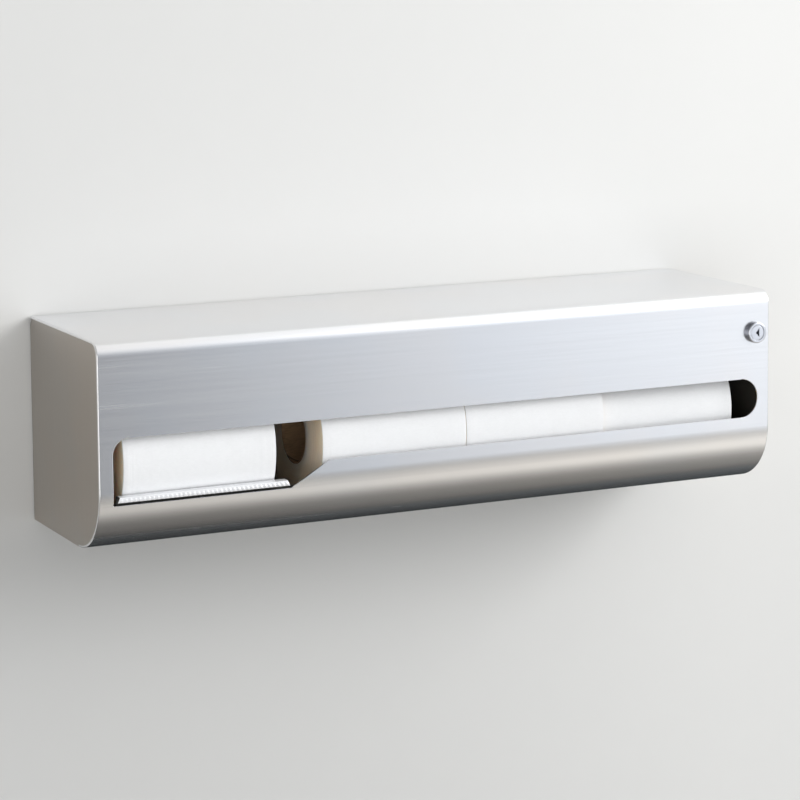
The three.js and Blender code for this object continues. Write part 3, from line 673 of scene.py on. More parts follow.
def carved(bm, tools):
    """Cuts closed tools out of a closed solid and returns the result as a new bmesh."""
    body = mesh_object(bm, "uncut")
    cutters = [mesh_object(tool, "tool") for tool in tools]
    for cutter in cutters:
        modify(body, "cut", "BOOLEAN", operation="DIFFERENCE", solver="EXACT", object=cutter)
    depsgraph = bpy.context.evaluated_depsgraph_get()
    result = bpy.data.meshes.new_from_object(body.evaluated_get(depsgraph))
    cut = bmesh.new()
    cut.from_mesh(result)
    bpy.data.meshes.remove(result)
    for used in [body, *cutters]:
        mesh = used.data
        bpy.data.objects.remove(used)
        bpy.data.meshes.remove(mesh)
    bmesh.ops.remove_doubles(cut, verts=cut.verts[:], dist=MERGE)
    bmesh.ops.dissolve_degenerate(cut, edges=cut.edges[:], dist=MERGE)
    return cut


def even_shading(piece):
    """Lets the large faces lead the shading, so that flat sheets look flat."""
    modify(piece, "even_shading", "WEIGHTED_NORMAL", mode="FACE_AREA", weight=50, keep_sharp=True)


def add_piece(bm, name, body, node, finishes, weighted=True):
    """Makes the mesh a shown piece that rides on a body and stands for a node."""
    for face in bm.faces:
        face.smooth = True
    for edge in bm.edges:
        edge.smooth = True
    for edge in sharp_edges(bm):
        edge.smooth = False
    piece = mesh_object(bm, name, finishes)
    if weighted:
        even_shading(piece)
    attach(piece, body)
    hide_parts(node)


def bend_centres(shell, x):
    """The centres of the cover's top and bottom bends, this far along the holder."""
    low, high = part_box("front_cover")
    top = (x, low.y + shell.top_bend, high.z - shell.top_bend)
    bottom = (x, low.y + shell.bottom_bend, low.z + shell.bottom_bend)
    return top, bottom


def cover_profile(shell):
    """The outside of the cover: over the top, down the front and round the bottom bend."""
    low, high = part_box("front_cover")
    top_centre, bottom_centre = bend_centres(shell, low.x)
    pen = Pen(low.x, high.y, high.z)
    pen.line(low.x, top_centre[1], high.z)
    pen.bend(top_centre, AXIS_X, 90, STEPS["top_bend"])
    pen.line(low.x, low.y, bottom_centre[2])
    pen.bend(bottom_centre, AXIS_X, 90, STEPS["bottom_bend"])
    return pen.bm


def bent_sheet(shell, width):
    """The cover's sheet before it is cut."""
    bm = cover_profile(shell)
    made = bmesh.ops.extrude_edge_only(bm, edges=bm.edges[:])
    bmesh.ops.translate(bm, vec=(width, 0, 0), verts=verts_of(made))
    bmesh.ops.recalc_face_normals(bm, faces=bm.faces[:])
    top = max(bm.faces, key=lambda face: face.calc_center_median().z)
    if top.normal.z < 0:
        bmesh.ops.reverse_faces(bm, faces=bm.faces[:])
    bmesh.ops.solidify(bm, geom=bm.faces[:], thickness=shell.sheet)
    return bm


def window_sill(shell):
    """Height of the window's sill."""
    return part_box("front_cover")[0].z + shell.bottom_bend - shell.sill_drop


def window_tool(shell):
    """A prism through the front in the shape of the window: a deep part, a slope and a slot."""
    low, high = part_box("front_cover")
    roll_low, roll_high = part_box("roll_1_paper")
    start = low.y - OVERRUN
    left = low.x + shell.window_left
    sill = window_sill(shell)
    top = (roll_low.z + roll_high.z) / 2 + shell.window_rise
    slot_sill = top - shell.slot_height
    slot_radius = shell.slot_height / 2
    slot_end = high.x - shell.window_right - slot_radius
    slot_centre = (slot_end, start, slot_sill + slot_radius)
    deep_right = roll_high.x + shell.deep_over_roll
    corner = shell.window_corner
    pen = Pen(left, start, sill)
    pen.line(deep_right, start, sill)
    pen.line(deep_right + shell.diagonal_run, start, slot_sill)
    pen.line(slot_end, start, slot_sill)
    pen.bend(slot_centre, AXIS_Y, -180, STEPS["slot_end"])
    pen.line(left + corner, start, top)
    pen.bend((left + corner, start, top - corner), AXIS_Y, -90, STEPS["window_corner"])
    return drawn_out(pen.filled(), (0, shell.bottom_bend / 2, 0))


def lock_hole_tool(shell):
    """A round bar through the front, where the lock goes."""
    low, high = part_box("lock_plug")
    middle = (low + high) / 2
    radius = (high.z - low.z) / 2 + shell.lock_margin
    depth = shell.sheet + 2 * OVERRUN
    bar = turned([(0, 0), (radius, 0), (radius, depth), (0, depth)], SIDES["lock_hole"])
    return laid(bar, AXIS_Y, (middle.x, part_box("front_cover")[0].y - OVERRUN, middle.z))


def outer_depth(point, shell, low, high):
    """How far a point lies inside the cover's outer surface."""
    y, z = low.y + shell.bottom_bend, low.z + shell.bottom_bend
    if point.z < z and point.y < y:
        return shell.bottom_bend - math.hypot(point.y - y, point.z - z)
    y, z = low.y + shell.top_bend, high.z - shell.top_bend
    if point.z > z and point.y < y:
        return shell.top_bend - math.hypot(point.y - y, point.z - z)
    return min(point.y - low.y, high.z - point.z)


def runs_along_end(edge, shell, low, high):
    """True for the cover's outer edge at its left or right end."""
    points = [vert.co for vert in edge.verts]
    at_end = all(
        min(abs(point.x - low.x), abs(point.x - high.x)) < MERGE for point in points
    )
    outside = all(outer_depth(point, shell, low, high) < shell.sheet / 4 for point in points)
    return at_end and outside and edge.calc_length() > MERGE


def borders_opening(edge, shell, low, high):
    """True for an edge of the window or the lock hole."""
    inset = 2 * shell.sheet
    between_ends = all(low.x + inset < vert.co.x < high.x - inset for vert in edge.verts)
    in_front = any(vert.co.y < low.y + shell.bottom_bend / 2 for vert in edge.verts)
    return between_ends and in_front and edge.calc_length() < high.x


class ROLLHOLDER_OT_cover(bpy.types.Operator):
    """Builds the bent cover sheet with its window and lock hole"""

    bl_idname = "roll_holder.cover"
    bl_label = "Cover sheet"

    def execute(self, context):
        shell = context.scene.roll_holder_shell
        finish = finish_library(context)["brushed_cover"]
        low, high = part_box("front_cover")
        tools = [window_tool(shell), lock_hole_tool(shell)]
        bm = carved(bent_sheet(shell, high.x - low.x), tools)
        place = (shell, low, high)
        ends = [edge for edge in sharp_edges(bm) if runs_along_end(edge, *place)]
        rounded(bm, ends, shell.end_rounding, 4)
        cuts = [edge for edge in sharp_edges(bm, BEVEL_DEGREES) if borders_opening(edge, *place)]
        rounded(bm, cuts, shell.cut_rounding)
        add_piece(bm, "cover_sheet", "cover", "front_cover", [finish])
        return {"FINISHED"}


def panel_outline(shell, x):
    """The end panel's outline, which follows the cover's inside."""
    low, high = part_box("front_cover")
    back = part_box("left_side_panel")[1].y
    inset = shell.sheet + shell.panel_gap
    top = high.z - inset
    top_centre, bottom_centre = bend_centres(shell, x)
    foot = bottom_centre[1] + shell.panel_gap
    corner = shell.panel_corner
    pen = Pen(x, back, low.z)
    pen.line(x, back, top - corner)
    pen.bend((x, back - corner, top - corner), AXIS_X, 90, STEPS["panel_corner"])
    pen.line(x, top_centre[1], top)
    pen.bend(top_centre, AXIS_X, 90, STEPS["top_bend"])
    pen.line(x, low.y + inset, bottom_centre[2])
    pen.bend(bottom_centre, AXIS_X, 90, STEPS["bottom_bend"])
    pen.line(x, foot, low.z + inset)
    pen.line(x, foot, low.z)
    return pen.filled()


class ROLLHOLDER_OT_panels(bpy.types.Operator):
    """Builds the two end panels, flush with the cover's ends"""

    bl_idname = "roll_holder.panels"
    bl_label = "End panels"

    def execute(self, context):
        shell = context.scene.roll_holder_shell
        finish = finish_library(context)["brushed_panel"]
        for side in ("left", "right"):
            node = f"{side}_side_panel"
            low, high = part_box(node)
            bm = drawn_out(panel_outline(shell, low.x), (high.x - low.x, 0, 0))
            rounded(bm, sharp_edges(bm, CORNER_DEGREES), SHEET_EDGE)
            add_piece(bm, f"{side}_end_panel", "cover", node, [finish])
        return {"FINISHED"}


# How finely the cutter strip's face is divided: rows up it, and columns along each dot.
FACE_ROWS = 14
DOT_COLUMNS = 8
# A dot's outline: above 1, it is narrower than its pitch.
DOT_NARROWING = 1.6


def channel_outline(sizes, low, high, foot):
    """The strip's cross-section: a back flange, a top and a face of many short runs."""
    sheet = sizes.sheet
    front = low.y + sizes.dot_height
    back = high.y
    bend = high.z - sizes.lowered - sheet
    x = low.x + sizes.left_gap
    pen = Pen(x, back, low.z)
    pen.line(x, back, bend)
    pen.bend((x, back - sheet, bend), AXIS_X, 90, STEPS["strip_bend"])
    pen.line(x, front + sheet, bend + sheet)
    pen.bend((x, front + sheet, bend), AXIS_X, 90, STEPS["strip_bend"])
    for row in range(1, FACE_ROWS + 1):
        pen.line(x, front, bend + (foot - bend) * row / FACE_ROWS)
    pen.line(x, front + sheet, foot)
    pen.line(x, front + sheet, bend)
    pen.line(x, back - sheet, bend)
    pen.line(x, back - sheet, low.z)
    return pen.filled()


def raise_dots(bm, sizes, front, foot, left, right):
    """Lifts a row of rounded dots out of the strip's face."""
    pitch = (right - left) / round((right - left) / sizes.dot_pitch)
    half_rise = sizes.dot_rise / 2
    middle = foot + half_rise
    for vert in bm.verts:
        if abs(vert.co.y - front) > MERGE or vert.co.z > middle + half_rise:
            continue
        along = (vert.co.x - left) / pitch % 1 * 2 - 1
        upward = (vert.co.z - middle) / half_rise
        reach = along ** 2 * DOT_NARROWING + upward ** 2
        vert.co.y -= sizes.dot_height * max(0, 1 - reach) ** 0.5


def slant_ends(bm, sizes, foot, top, left, right):
    """Leans the strip's two ends in towards its top."""
    for vert in bm.verts:
        lean = sizes.slant * min(max((vert.co.z - foot) / (top - foot), 0), 1)
        vert.co.x += lean * (1 - 2 * (vert.co.x - left) / (right - left))


class ROLLHOLDER_OT_cutter(bpy.types.Operator):
    """Builds the cutter strip that the paper is torn on"""

    bl_idname = "roll_holder.cutter"
    bl_label = "Cutter strip"

    def execute(self, context):
        sizes = context.scene.roll_holder_cutter
        finishes = finish_library(context)
        low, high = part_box("cutter_strip")
        front = low.y + sizes.dot_height
        foot = window_sill(context.scene.roll_holder_shell) + sizes.foot_gap
        left, right = low.x + sizes.left_gap, high.x - sizes.right_gap
        bm = drawn_out(channel_outline(sizes, low, high, foot), (right - left, 0, 0))
        runs = [edge for edge in bm.edges if edge.calc_length() > (right - left) / 2]
        columns = round((right - left) / sizes.dot_pitch) * DOT_COLUMNS
        bmesh.ops.subdivide_edges(bm, edges=runs, cuts=columns - 1, use_grid_fill=True)
        raise_dots(bm, sizes, front, foot, left, right)
        slant_ends(bm, sizes, foot, high.z, left, right)
        bm.normal_update()
        # Behind its face the strip is dark, apart from its top: dark paint as painted shade in the
        # gap under the strip.
        inside = front + 1.5 * sizes.sheet
        for face in bm.faces:
            if face.calc_center_median().y > inside and face.normal.z < 0.5:
                face.material_index = 1
        steels = [finishes["bright_cutter"], finishes["dark_paint"]]
        add_piece(bm, "cutter_channel", "base", "cutter_strip", steels)
        return {"FINISHED"}


# A winding's long runs, this many times its edge rounding, and the cuts across each.
LONG_RUN = 10
RUN_CUTS = 26


def winding(low, high, bore, sizes, seed):
    """A soft paper winding: a turned ring whose surface wanders a little."""
    radius = (high.z - low.z) / 2
    width = high.x - low.x
    edge = sizes.edge
    pen = Pen(bore, 0, 0)
    pen.line(radius - edge, 0, 0)
    pen.bend((radius - edge, 0, edge), AXIS_Y, -90, STEPS["winding_edge"])
    pen.line(radius, 0, width - edge)
    pen.bend((radius - edge, 0, width - edge), AXIS_Y, -90, STEPS["winding_edge"])
    pen.line(bore, 0, width)
    bm = pen.loop()
    runs = [run for run in bm.edges if run.calc_length() > LONG_RUN * edge]
    bmesh.ops.subdivide_edges(bm, edges=runs, cuts=RUN_CUTS)
    spun(bm, SIDES["winding"])
    for face in bm.faces:
        place = face.calc_center_median().z
        face.material_index = 1 if min(place, width - place) < MERGE else 0
    shape_winding(bm, radius, bore, width, sizes, seed)
    return laid(bm, AXIS_X, (low.x, (low.y + high.y) / 2, (low.z + high.z) / 2))


def ripple(place, outward, turn, offset):
    """Smooth noise by a place along one axis and by the direction round the roll."""
    return noise.noise(Vector((place, outward.x * turn, outward.y * turn)) + offset)


def shape_winding(bm, radius, bore, width, sizes, seed):
    """Moves the winding's points inwards by smooth noise, so it stays within its solid."""
    offset = Vector((seed * 3.7, seed * 1.3, seed * 2.1))
    for vert in bm.verts:
        reach = math.hypot(vert.co.x, vert.co.y)
        outward = Vector((vert.co.x, vert.co.y, 0)) / reach
        outer = (reach - bore) / (radius - bore)
        slow = noise.noise(vert.co * 18 + offset)
        across = ripple(vert.co.z * 90, outward, 0.8, offset)
        layer = ripple(reach * 900, outward, 0.7, offset)
        slump = ripple(reach * 60, outward, 1, offset)
        dent = sizes.sag * outer * (0.5 + 0.35 * slow + 0.3 * across)
        hollow = 4 * outer * (1 - outer)
        depth = sizes.end_wander * (0.5 + 0.25 * layer + 0.25 * slump) * hollow
        toward_middle = 1 - 2 * vert.co.z / width
        vert.co -= outward * max(dent, 0)
        vert.co.z += depth * toward_middle


class ROLLHOLDER_OT_rolls(bpy.types.Operator):
    """Builds the paper windings and their cardboard tubes"""

    bl_idname = "roll_holder.rolls"
    bl_label = "Paper rolls"

    def execute(self, context):
        sizes = context.scene.roll_holder_rolls
        colours = context.scene.roll_holder_colours
        papers = [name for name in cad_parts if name.endswith("_paper")]
        for number in sorted(int(name.split("_")[1]) for name in papers):
            body = "working_roll" if number == 1 else "spare_rolls"
            roll = f"roll_{number}"
            low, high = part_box(f"{roll}_paper")
            core_low, core_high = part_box(f"{roll}_core")
            centre = (low + high) / 2
            width = high.x - low.x
            core_radius = (core_high.z - core_low.z) / 2
            sides = [
                soft_paper(f"soft_paper_{number}", colours.paper, centre, width / 2),
                wound_end(f"wound_end_{number}", colours.paper_end, centre),
            ]
            bm = winding(low, high, core_radius + sizes.core_gap, sizes, number)
            add_piece(bm, f"{roll}_winding", body, f"{roll}_paper", sides, False)
            bore = core_radius - sizes.core_wall
            wall = [(bore, 0), (core_radius, 0), (core_radius, width), (bore, width)]
            tube = laid(turned(wall, SIDES["tube"]), AXIS_X, (low.x, centre.y, centre.z))
            rounded(tube, sharp_edges(tube, CORNER_DEGREES), TURNED_EDGE)
            card = spiral_card(f"spiral_card_{number}", colours.card, centre, sizes.seam_pitch)
            add_piece(tube, f"{roll}_tube", body, f"{roll}_core", [card])
        return {"FINISHED"}


def on_rim(edge, radius, height):
    """True for an edge of a turned piece at this radius and height."""
    return all(
        abs(math.hypot(vert.co.x, vert.co.y) - radius) < 10 * MERGE
        and abs(vert.co.z - height) < MERGE
        for vert in edge.verts
    )


def lock_ring(sizes, low, high, ring_radius, bore):
    """The lock's barrel, with the raised ring that bears on the cover."""
    barrel_radius = ring_radius - sizes.ring_lip
    front = -low.y
    seat = -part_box("front_cover")[0].y + sizes.ring_seat
    back = -high.y
    ring = turned([
        (bore, back), (barrel_radius, back), (barrel_radius, seat),
        (ring_radius, seat), (ring_radius, front), (bore, front),
    ], SIDES["lock"])
    corners = sharp_edges(ring, CORNER_DEGREES)
    rim = [edge for edge in corners if on_rim(edge, ring_radius, front)]
    rounded(ring, rim, sizes.ring_rounding, 6)
    return rounded(ring, sharp_edges(ring, CORNER_DEGREES), SHEET_EDGE)


def keyway_tool(sizes, middle, front):
    """A three-cornered prism, pointed to the left."""
    half_height = sizes.keyway_height / 2
    half_width = sizes.keyway_width / 2
    start = front - OVERRUN
    pen = Pen(middle.x - half_width, start, middle.z)
    pen.line(middle.x + half_width, start, middle.z - half_height)
    pen.line(middle.x + half_width, start, middle.z + half_height)
    return drawn_out(pen.filled(), (0, sizes.keyway_depth + OVERRUN, 0))


def key_plug(sizes, low, high, radius):
    """A plug whose face holds a three-cornered keyway, with the square tang behind it."""
    middle = (low + high) / 2
    body_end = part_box("lock_cam")[0].y - sizes.cam_gap
    profile = [(0, -body_end), (radius, -body_end), (radius, -low.y), (0, -low.y)]
    rod = turned(profile, SIDES["lock"])
    rounded(rod, sharp_edges(rod, CORNER_DEGREES), TURNED_EDGE, 3)
    laid(rod, -AXIS_Y, (middle.x, 0, middle.z))
    tang = bmesh.ops.create_cube(rod, size=1)["verts"]
    tang_length = high.y - body_end + OVERRUN
    bmesh.ops.scale(rod, vec=(sizes.tang, tang_length, sizes.tang), verts=tang)
    bmesh.ops.translate(rod, vec=(middle.x, high.y - tang_length / 2, middle.z), verts=tang)
    bm = carved(rod, [keyway_tool(sizes, middle, low.y)])

    def at_mouth(vert):
        reach = math.hypot(vert.co.x - middle.x, vert.co.z - middle.z)
        return abs(vert.co.y - low.y) < MERGE and reach < radius * 0.8

    corners = sharp_edges(bm, CORNER_DEGREES)
    mouth = [edge for edge in corners if all(at_mouth(vert) for vert in edge.verts)]
    return rounded(bm, mouth, sizes.keyway_edge)


class ROLLHOLDER_OT_lock(bpy.types.Operator):
    """Builds the lock's raised ring and the plug with its keyway"""

    bl_idname = "roll_holder.lock"
    bl_label = "Cam lock"

    def execute(self, context):
        sizes = context.scene.roll_holder_lock
        colours = context.scene.roll_holder_colours
        low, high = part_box("lock_barrel")
        plug_low, plug_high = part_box("lock_plug")
        centre = (low + high) / 2
        radius = (high.x - low.x) / 2
        plug_radius = (plug_high.x - plug_low.x) / 2
        ring = lock_ring(sizes, low, high, radius, plug_radius + sizes.ring_gap)
        laid(ring, -AXIS_Y, (centre.x, 0, centre.z))
        plug = key_plug(sizes, plug_low, plug_high, plug_radius)
        chrome = turned_chrome(
            "turned_chrome", colours.chrome, centre, radius, colours.chrome_side
        )
        add_piece(ring, "lock_ring", "cover", "lock_barrel", [chrome])
        add_piece(plug, "key_plug", "lock", "lock_plug", [chrome])
        return {"FINISHED"}


# Which way each fastener's head looks, the body that it rides on, and whether it has a recess.
FASTENERS = {
    "tray_screw": (-AXIS_Y, "base", True),
    "bracket_rivet": (-AXIS_Y, "base", False),
    "cutter_screw": (-AXIS_Y, "base", True),
    "hinge_screw": (AXIS_Z, "base", True),
    "strike_rivet": (-AXIS_X, "base", False),
    "cam_screw": (AXIS_Y, "lock", True),
}
# A pan head's outline from its rim up to its middle, in shares of its radius and height.
HEAD_SHARES = ((1, 1), (1, 0.62), (0.93, 0.34), (0.78, 0.14), (0.5, 0.03), (0, 0))
# The shank's tip, in shares of its radius: how narrow it ends, and over what length.
TIP_SHARES = (0.7, 0.3)


def screw_solid(sizes, radius, total, crossed):
    """A pan head on a shank, drawn up Z with the head's top at zero."""
    head = sizes.head_height
    shank = sizes.shank_radius
    pen = Pen(0, 0, -total)
    pen.line(shank * TIP_SHARES[0], 0, -total)
    pen.line(shank, 0, -total + shank * TIP_SHARES[1])
    pen.line(shank, 0, -head)
    for across, down in HEAD_SHARES:
        pen.line(radius * across, 0, -head * down)
    bm = spun(pen.bm, SIDES["screw"])
    if not crossed:
        return bm
    reach, width = 2 * sizes.recess_reach, 2 * sizes.recess_width
    arms = []
    for extent in ((reach, width), (width, reach)):
        arm = bmesh.new()
        verts = bmesh.ops.create_cube(arm, size=1)["verts"]
        bmesh.ops.scale(arm, vec=(*extent, 2 * sizes.recess_depth), verts=verts)
        arms.append(arm)
    return carved(bm, arms)


class ROLLHOLDER_OT_fasteners(bpy.types.Operator):
    """Builds every screw and rivet at its seat"""

    bl_idname = "roll_holder.fasteners"
    bl_label = "Screws and rivets"

    def execute(self, context):
        sizes = context.scene.roll_holder_screws
        finish = finish_library(context)["zinc_plate"]
        for kind, (direction, body, crossed) in FASTENERS.items():
            for node in sorted(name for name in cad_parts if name.startswith(kind)):
                low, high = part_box(node)
                extent = high - low
                total = abs(extent.dot(direction))
                across = abs(max(extent.cross(direction)))
                bm = screw_solid(sizes, across / 2, total, crossed)
                laid(bm, direction, (low + high) / 2 + direction * total / 2)
                add_piece(bm, f"{node}_turned", body, node, [finish])
        return {"FINISHED"}


DRESSED_NODES = {
    "dark_paint": ("wall_chassis", "left_end_bracket", "right_end_bracket", "roll_tray"),
    "zinc_plate": (
        "lock_strike", "lock_nut", "lock_cam", "left_hinge_fixed_leaf", "right_hinge_fixed_leaf",
        "left_hinge_moving_leaf", "right_hinge_moving_leaf", "left_hinge_pin", "right_hinge_pin",
    ),
    "moulded_rubber": ("left_bumper", "right_bumper"),
}


def smooth_by_angle():
    """A node group that shades faces smoothly and keeps edges sharp past an angle."""
    group = bpy.data.node_groups.new("smooth_by_angle", "GeometryNodeTree")
    for direction in ("INPUT", "OUTPUT"):
        group.interface.new_socket(
            "Geometry", in_out=direction, socket_type="NodeSocketGeometry"
        )
    nodes, links = group.nodes, group.links
    entry = nodes.new("NodeGroupInput")
    leave = nodes.new("NodeGroupOutput")
    bend = nodes.new("GeometryNodeInputMeshEdgeAngle")
    sharp = nodes.new("FunctionNodeCompare")
    sharp.data_type = "FLOAT"
    sharp.operation = "GREATER_THAN"
    sharp.inputs[1].default_value = math.radians(SHARP_DEGREES)
    faces = nodes.new("GeometryNodeSetShadeSmooth")
    edges = nodes.new("GeometryNodeSetShadeSmooth")
    edges.domain = "EDGE"
    edges.inputs["Shade Smooth"].default_value = False
    links.new(entry.outputs[0], faces.inputs["Geometry"])
    links.new(faces.outputs[0], edges.inputs["Geometry"])
    links.new(bend.outputs["Unsigned Angle"], sharp.inputs[0])
    links.new(sharp.outputs[0], edges.inputs["Selection"])
    links.new(edges.outputs[0], leave.inputs[0])
    return group


class ROLLHOLDER_OT_inner_frame(bpy.types.Operator):
    """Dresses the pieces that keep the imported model's own shape"""

    bl_idname = "roll_holder.inner_frame"
    bl_label = "Chassis, tray and hinges"

    def execute(self, context):
        finishes = finish_library(context)
        shading = smooth_by_angle()
        for finish, names in DRESSED_NODES.items():
            for name in names:
                self.dress(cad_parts[name], finishes[finish], shading)
        return {"FINISHED"}

    def dress(self, node, finish, shading):
        for slot in node.material_slots:
            slot.link = "OBJECT"
            slot.material = finish
        modify(node, "weld", "WELD", merge_threshold=MERGE)
        modify(
            node, "broken_edges", "BEVEL", width=SHEET_EDGE, segments=2,
            limit_method="ANGLE", angle_limit=math.radians(BEVEL_DEGREES),
        )
        modify(node, "smooth_by_angle", "NODES", node_group=shading)
        even_shading(node)


# Grey levels of the air by direction. The first number of a pair is a place from 0 to 1: left to
# right for the side, upper and fill light, and straight down to straight up for the other two.
SIDE_LIGHT = (
    (0.0, 0.3), (0.1, 0.42), (0.35, 0.42), (0.45, 0.12), (0.55, 0.08), (0.6, 0.0),
    (0.645, 0.03), (0.667, 0.12), (0.68, 0.26), (0.692, 0.42), (0.706, 0.545), (0.728, 0.6),
    (0.75, 0.7), (0.765, 0.76), (0.82, 0.75), (0.9, 0.45), (1.0, 0.25),
)
UPPER_LIGHT = (
    (0.0, 0.2), (0.5, 0.2), (0.6, 0.34), (0.64, 0.5), (0.667, 0.56), (0.715, 0.66),
    (0.765, 0.76), (0.82, 0.82), (1.0, 0.7),
)
FILL_SIDE = (
    (0.0, 0.0), (0.08, 0.0), (0.2, 0.9), (0.34, 1.0), (0.5, 1.0), (0.56, 0.0), (1.0, 0.0),
)
LOW_LIGHT = ((0.0, 0.15), (0.3, 0.5), (0.36, 0.62), (0.41, 0.94), (0.45, 1.0), (1.0, 1.0))
FILL_HEIGHT = ((0.0, 0.0), (0.25, 0.0), (0.32, 1.0), (0.5, 1.0), (0.62, 0.0), (1.0, 0.0))

# The wall's tone by its place on these two scales: painted light, brightest just right of the
# holder and falling off to both sides, and painted shade, darker below the holder.
WALL_PAINTED_LIGHT_ACROSS = (
    (0.0, 0.8), (0.4, 0.85), (0.448, 0.876), (0.504, 0.924), (0.569, 1.0), (0.62, 1.0),
    (1.0, 0.7),
)
WALL_PAINTED_SHADE_UPWARD = ((0.0, 0.9), (0.38, 0.92), (0.5, 1.0), (1.0, 1.0))

# The two cards' edges, and their tones from the wall to the front and from the top down: painted
# dark reflections, warm under the holder and cool behind it.
CARD_LEFT = -0.6
CARD_RIGHT = 1.2
CARD_BACK = -0.004
BEHIND_LEFT = -0.272
BEHIND_TOP = -0.09
UNDER_REFLECTION_TINT = (1.0, 0.96, 0.9, 1.0)
UNDER_REFLECTION_TONES = (
    (0.0, 0.09), (0.1, 0.18), (0.25, 0.24), (0.35, 0.4), (0.47, 0.76), (0.56, 0.76),
    (0.75, 0.48), (1.0, 0.32),
)
BEHIND_REFLECTION_TINT = (0.92, 1.0, 1.05, 1.0)
BEHIND_REFLECTION_TONES = ((0.0, 0.036), (1.0, 0.12))


def upright(y, left, right, low, high):
    """The corners of a rectangle that faces the front."""
    return [(left, y, low), (right, y, low), (right, y, high), (left, y, high)]


def lying(z, left, right, front, back):
    """The corners of a rectangle that lies flat."""
    return [(left, front, z), (right, front, z), (right, back, z), (left, back, z)]


def stage_plane(name, corners, finish, hole=None):
    """A flat stage piece, with a rectangular hole where one is given."""
    bm = bmesh.new()
    face = bm.faces.new([bm.verts.new(corner) for corner in (hole or corners)])
    if hole:
        made = bmesh.ops.extrude_edge_only(bm, edges=bm.edges[:])
        for vert in verts_of(made):
            nearest = min(range(4), key=lambda index: (Vector(hole[index]) - vert.co).length)
            vert.co = corners[nearest]
        bm.faces.remove(face)
    plane = mesh_object(bm, name, [finish])
    return plane


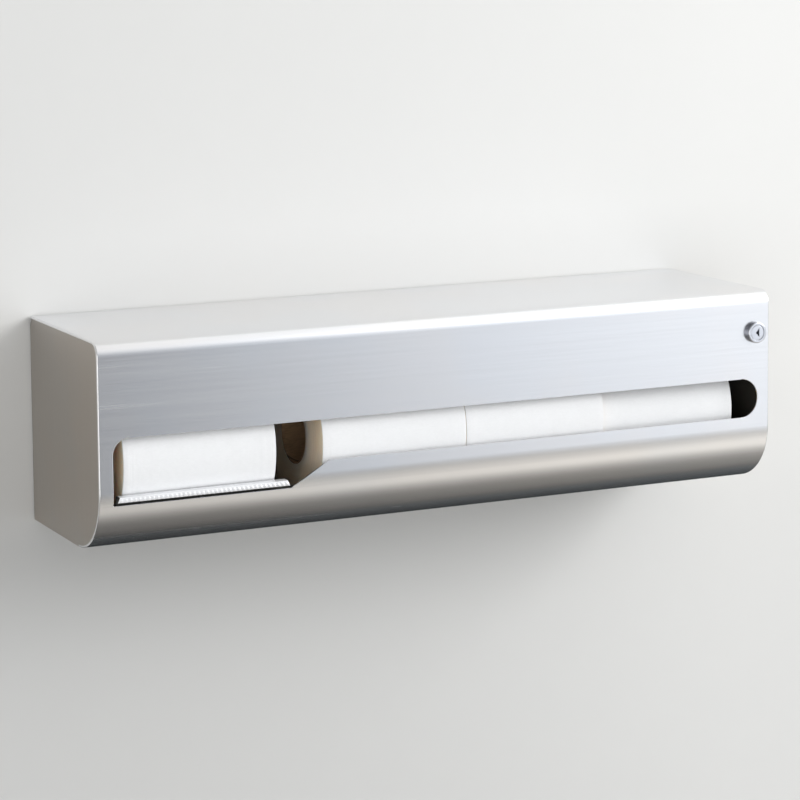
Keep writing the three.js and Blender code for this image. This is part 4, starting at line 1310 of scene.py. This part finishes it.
class ROLLHOLDER_OT_stage(bpy.types.Operator):
    """Sets up the wall, the floor, the lamp, the air and the camera"""

    bl_idname = "roll_holder.stage"
    bl_label = "Studio"

    def execute(self, context):
        studio = context.scene.roll_holder_studio
        context.scene.camera = self.camera(studio)
        self.add_wall_and_floor(studio)
        self.add_cards(studio)
        self.add_key(studio)
        context.scene.world = self.air(studio)
        context.scene.view_settings.view_transform = "Standard"
        return {"FINISHED"}

    def camera(self, studio):
        data = bpy.data.cameras.new("camera")
        data.sensor_width = 36
        data.lens = studio.lens
        data.shift_y = studio.lens_shift
        camera = linked("camera", data)
        turn = Matrix.Rotation(studio.camera_yaw, 4, "Z")
        turn = turn @ Matrix.Rotation(studio.camera_pitch, 4, "X")
        turn = turn @ Matrix.Rotation(studio.camera_roll, 4, "Z")
        camera.matrix_world = Matrix.Translation(studio.camera_place) @ turn
        return camera

    def add_wall_and_floor(self, studio):
        """The wall is open behind the chassis, so the holder's back can be seen."""
        low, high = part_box("wall_chassis")
        inset, reach, y = studio.wall_overlap, studio.wall_reach, studio.wall_gap
        ground = -studio.floor_drop
        hole = upright(y, low.x + inset, high.x - inset, low.z + inset, high.z - inset)
        # The wall carries painted light and shade from the two wall tables.
        wall_paint = see_through_back(
            "wall_paint", studio.wall_colour, 30, WALL_PAINTED_LIGHT_ACROSS, WALL_PAINTED_SHADE_UPWARD
        )
        floor_paint = see_through_back("floor_paint", studio.floor_colour, 12)
        stage_plane("wall", upright(y, -reach, reach, ground, reach), wall_paint, hole)
        stage_plane("floor", lying(ground, -reach, reach, -studio.floor_depth, y), floor_paint)

    def add_cards(self, studio):
        """Dark cards under the holder that only its steel mirrors, hung like a photographer's:
        painted dark reflections that no other ray sees.
        """
        drop, front = -studio.card_drop, -studio.card_reach
        under = shaded_card("card_under", UNDER_REFLECTION_TINT, "Y", UNDER_REFLECTION_TONES, 0.0, front)
        behind = shaded_card("card_behind", BEHIND_REFLECTION_TINT, "Z", BEHIND_REFLECTION_TONES, BEHIND_TOP, drop)
        for card in (
            stage_plane("card_under", lying(drop, CARD_LEFT, CARD_RIGHT, front, CARD_BACK), under),
            stage_plane(
                "card_behind", upright(CARD_BACK, BEHIND_LEFT, CARD_RIGHT, drop, BEHIND_TOP), behind
            ),
        ):
            card.visible_camera = False
            card.visible_diffuse = False
            card.visible_shadow = False
            card.visible_transmission = False

    def add_key(self, studio):
        """The large soft lamp at the upper right, which looks at the holder."""
        azimuth, elevation = studio.key_azimuth, studio.key_elevation
        level = math.cos(elevation)
        direction = Vector((
            math.sin(azimuth) * level, -math.cos(azimuth) * level, math.sin(elevation)
        ))
        data = bpy.data.lights.new("key", "AREA")
        data.shape = "RECTANGLE"
        data.size = studio.key_width
        data.size_y = studio.key_height
        data.energy = studio.key_power
        lamp = linked("key", data)
        lamp.location = direction * studio.key_distance
        lamp.rotation_mode = "QUATERNION"
        lamp.rotation_quaternion = (-lamp.location).to_track_quat("-Z", "Y")

    def air(self, studio):
        """Light from all round: by the side it comes from, darker from below, cool in front."""
        air = Painter(bpy.data.worlds.new("studio_air"))
        direction = air.node("ShaderNodeTexCoord", {}, {}, "Generated")
        rise = air.part(direction, "Z")
        across = air.part(direction, "X") * 0.5 + 0.5
        ceiling = air.spread(rise, -0.08, 0.9)
        height = rise * 0.5 + 0.5
        sides = air.grey_ramp(across, SIDE_LIGHT) * (1 - ceiling)
        upper = air.grey_ramp(across, UPPER_LIGHT) * ceiling
        fill = air.grey_ramp(across, FILL_SIDE) * air.grey_ramp(height, FILL_HEIGHT)
        level = (sides + upper) * air.grey_ramp(height, LOW_LIGHT) * 2
        level = (level + fill * studio.fill_level) * studio.air_level
        front = air.spread(across, 0.54, 0.62) * (1 - air.spread(across, 0.69, 0.78) * 0.65)
        tint = air.mix(front * (1 - ceiling), WHITE, studio.front_tint)
        return air.finished(
            air.node("ShaderNodeBackground", {}, {"Color": tint, "Strength": level})
        )


class ROLLHOLDER_PT_panel(bpy.types.Panel):
    """Lists the holder's pieces in the sidebar"""

    bl_idname = "ROLLHOLDER_PT_panel"
    bl_label = "Roll holder"
    bl_space_type = "VIEW_3D"
    bl_region_type = "UI"
    bl_category = "Roll holder"

    def draw(self, context):
        layout = self.layout
        for operator in OPERATORS:
            layout.operator(operator.bl_idname)
        for group in SETTINGS:
            box = layout.box()
            settings = getattr(context.scene, group)
            for name in settings.bl_rna.properties.keys():
                if name not in {"rna_type", "name"}:
                    box.prop(settings, name)


SETTINGS = {
    "roll_holder_shell": ShellSizes,
    "roll_holder_rolls": RollSizes,
    "roll_holder_cutter": CutterSizes,
    "roll_holder_lock": LockSizes,
    "roll_holder_screws": ScrewSizes,
    "roll_holder_colours": FinishColours,
    "roll_holder_studio": StudioSettings,
}
OPERATORS = (
    ROLLHOLDER_OT_cover,
    ROLLHOLDER_OT_panels,
    ROLLHOLDER_OT_cutter,
    ROLLHOLDER_OT_rolls,
    ROLLHOLDER_OT_lock,
    ROLLHOLDER_OT_fasteners,
    ROLLHOLDER_OT_inner_frame,
    ROLLHOLDER_OT_stage,
)


def register():
    for kind in (*SETTINGS.values(), *OPERATORS, ROLLHOLDER_PT_panel):
        bpy.utils.register_class(kind)
    for name, kind in SETTINGS.items():
        setattr(bpy.types.Scene, name, bpy.props.PointerProperty(type=kind))


def unregister():
    for name in SETTINGS:
        delattr(bpy.types.Scene, name)
    for kind in reversed((*SETTINGS.values(), *OPERATORS, ROLLHOLDER_PT_panel)):
        bpy.utils.unregister_class(kind)


def main():
    register()
    for operator in OPERATORS:
        step = operator.bl_idname.split(".")[1]
        getattr(bpy.ops.roll_holder, step)()
    bpy.context.view_layer.update()


if __name__ == "__main__":
    main()
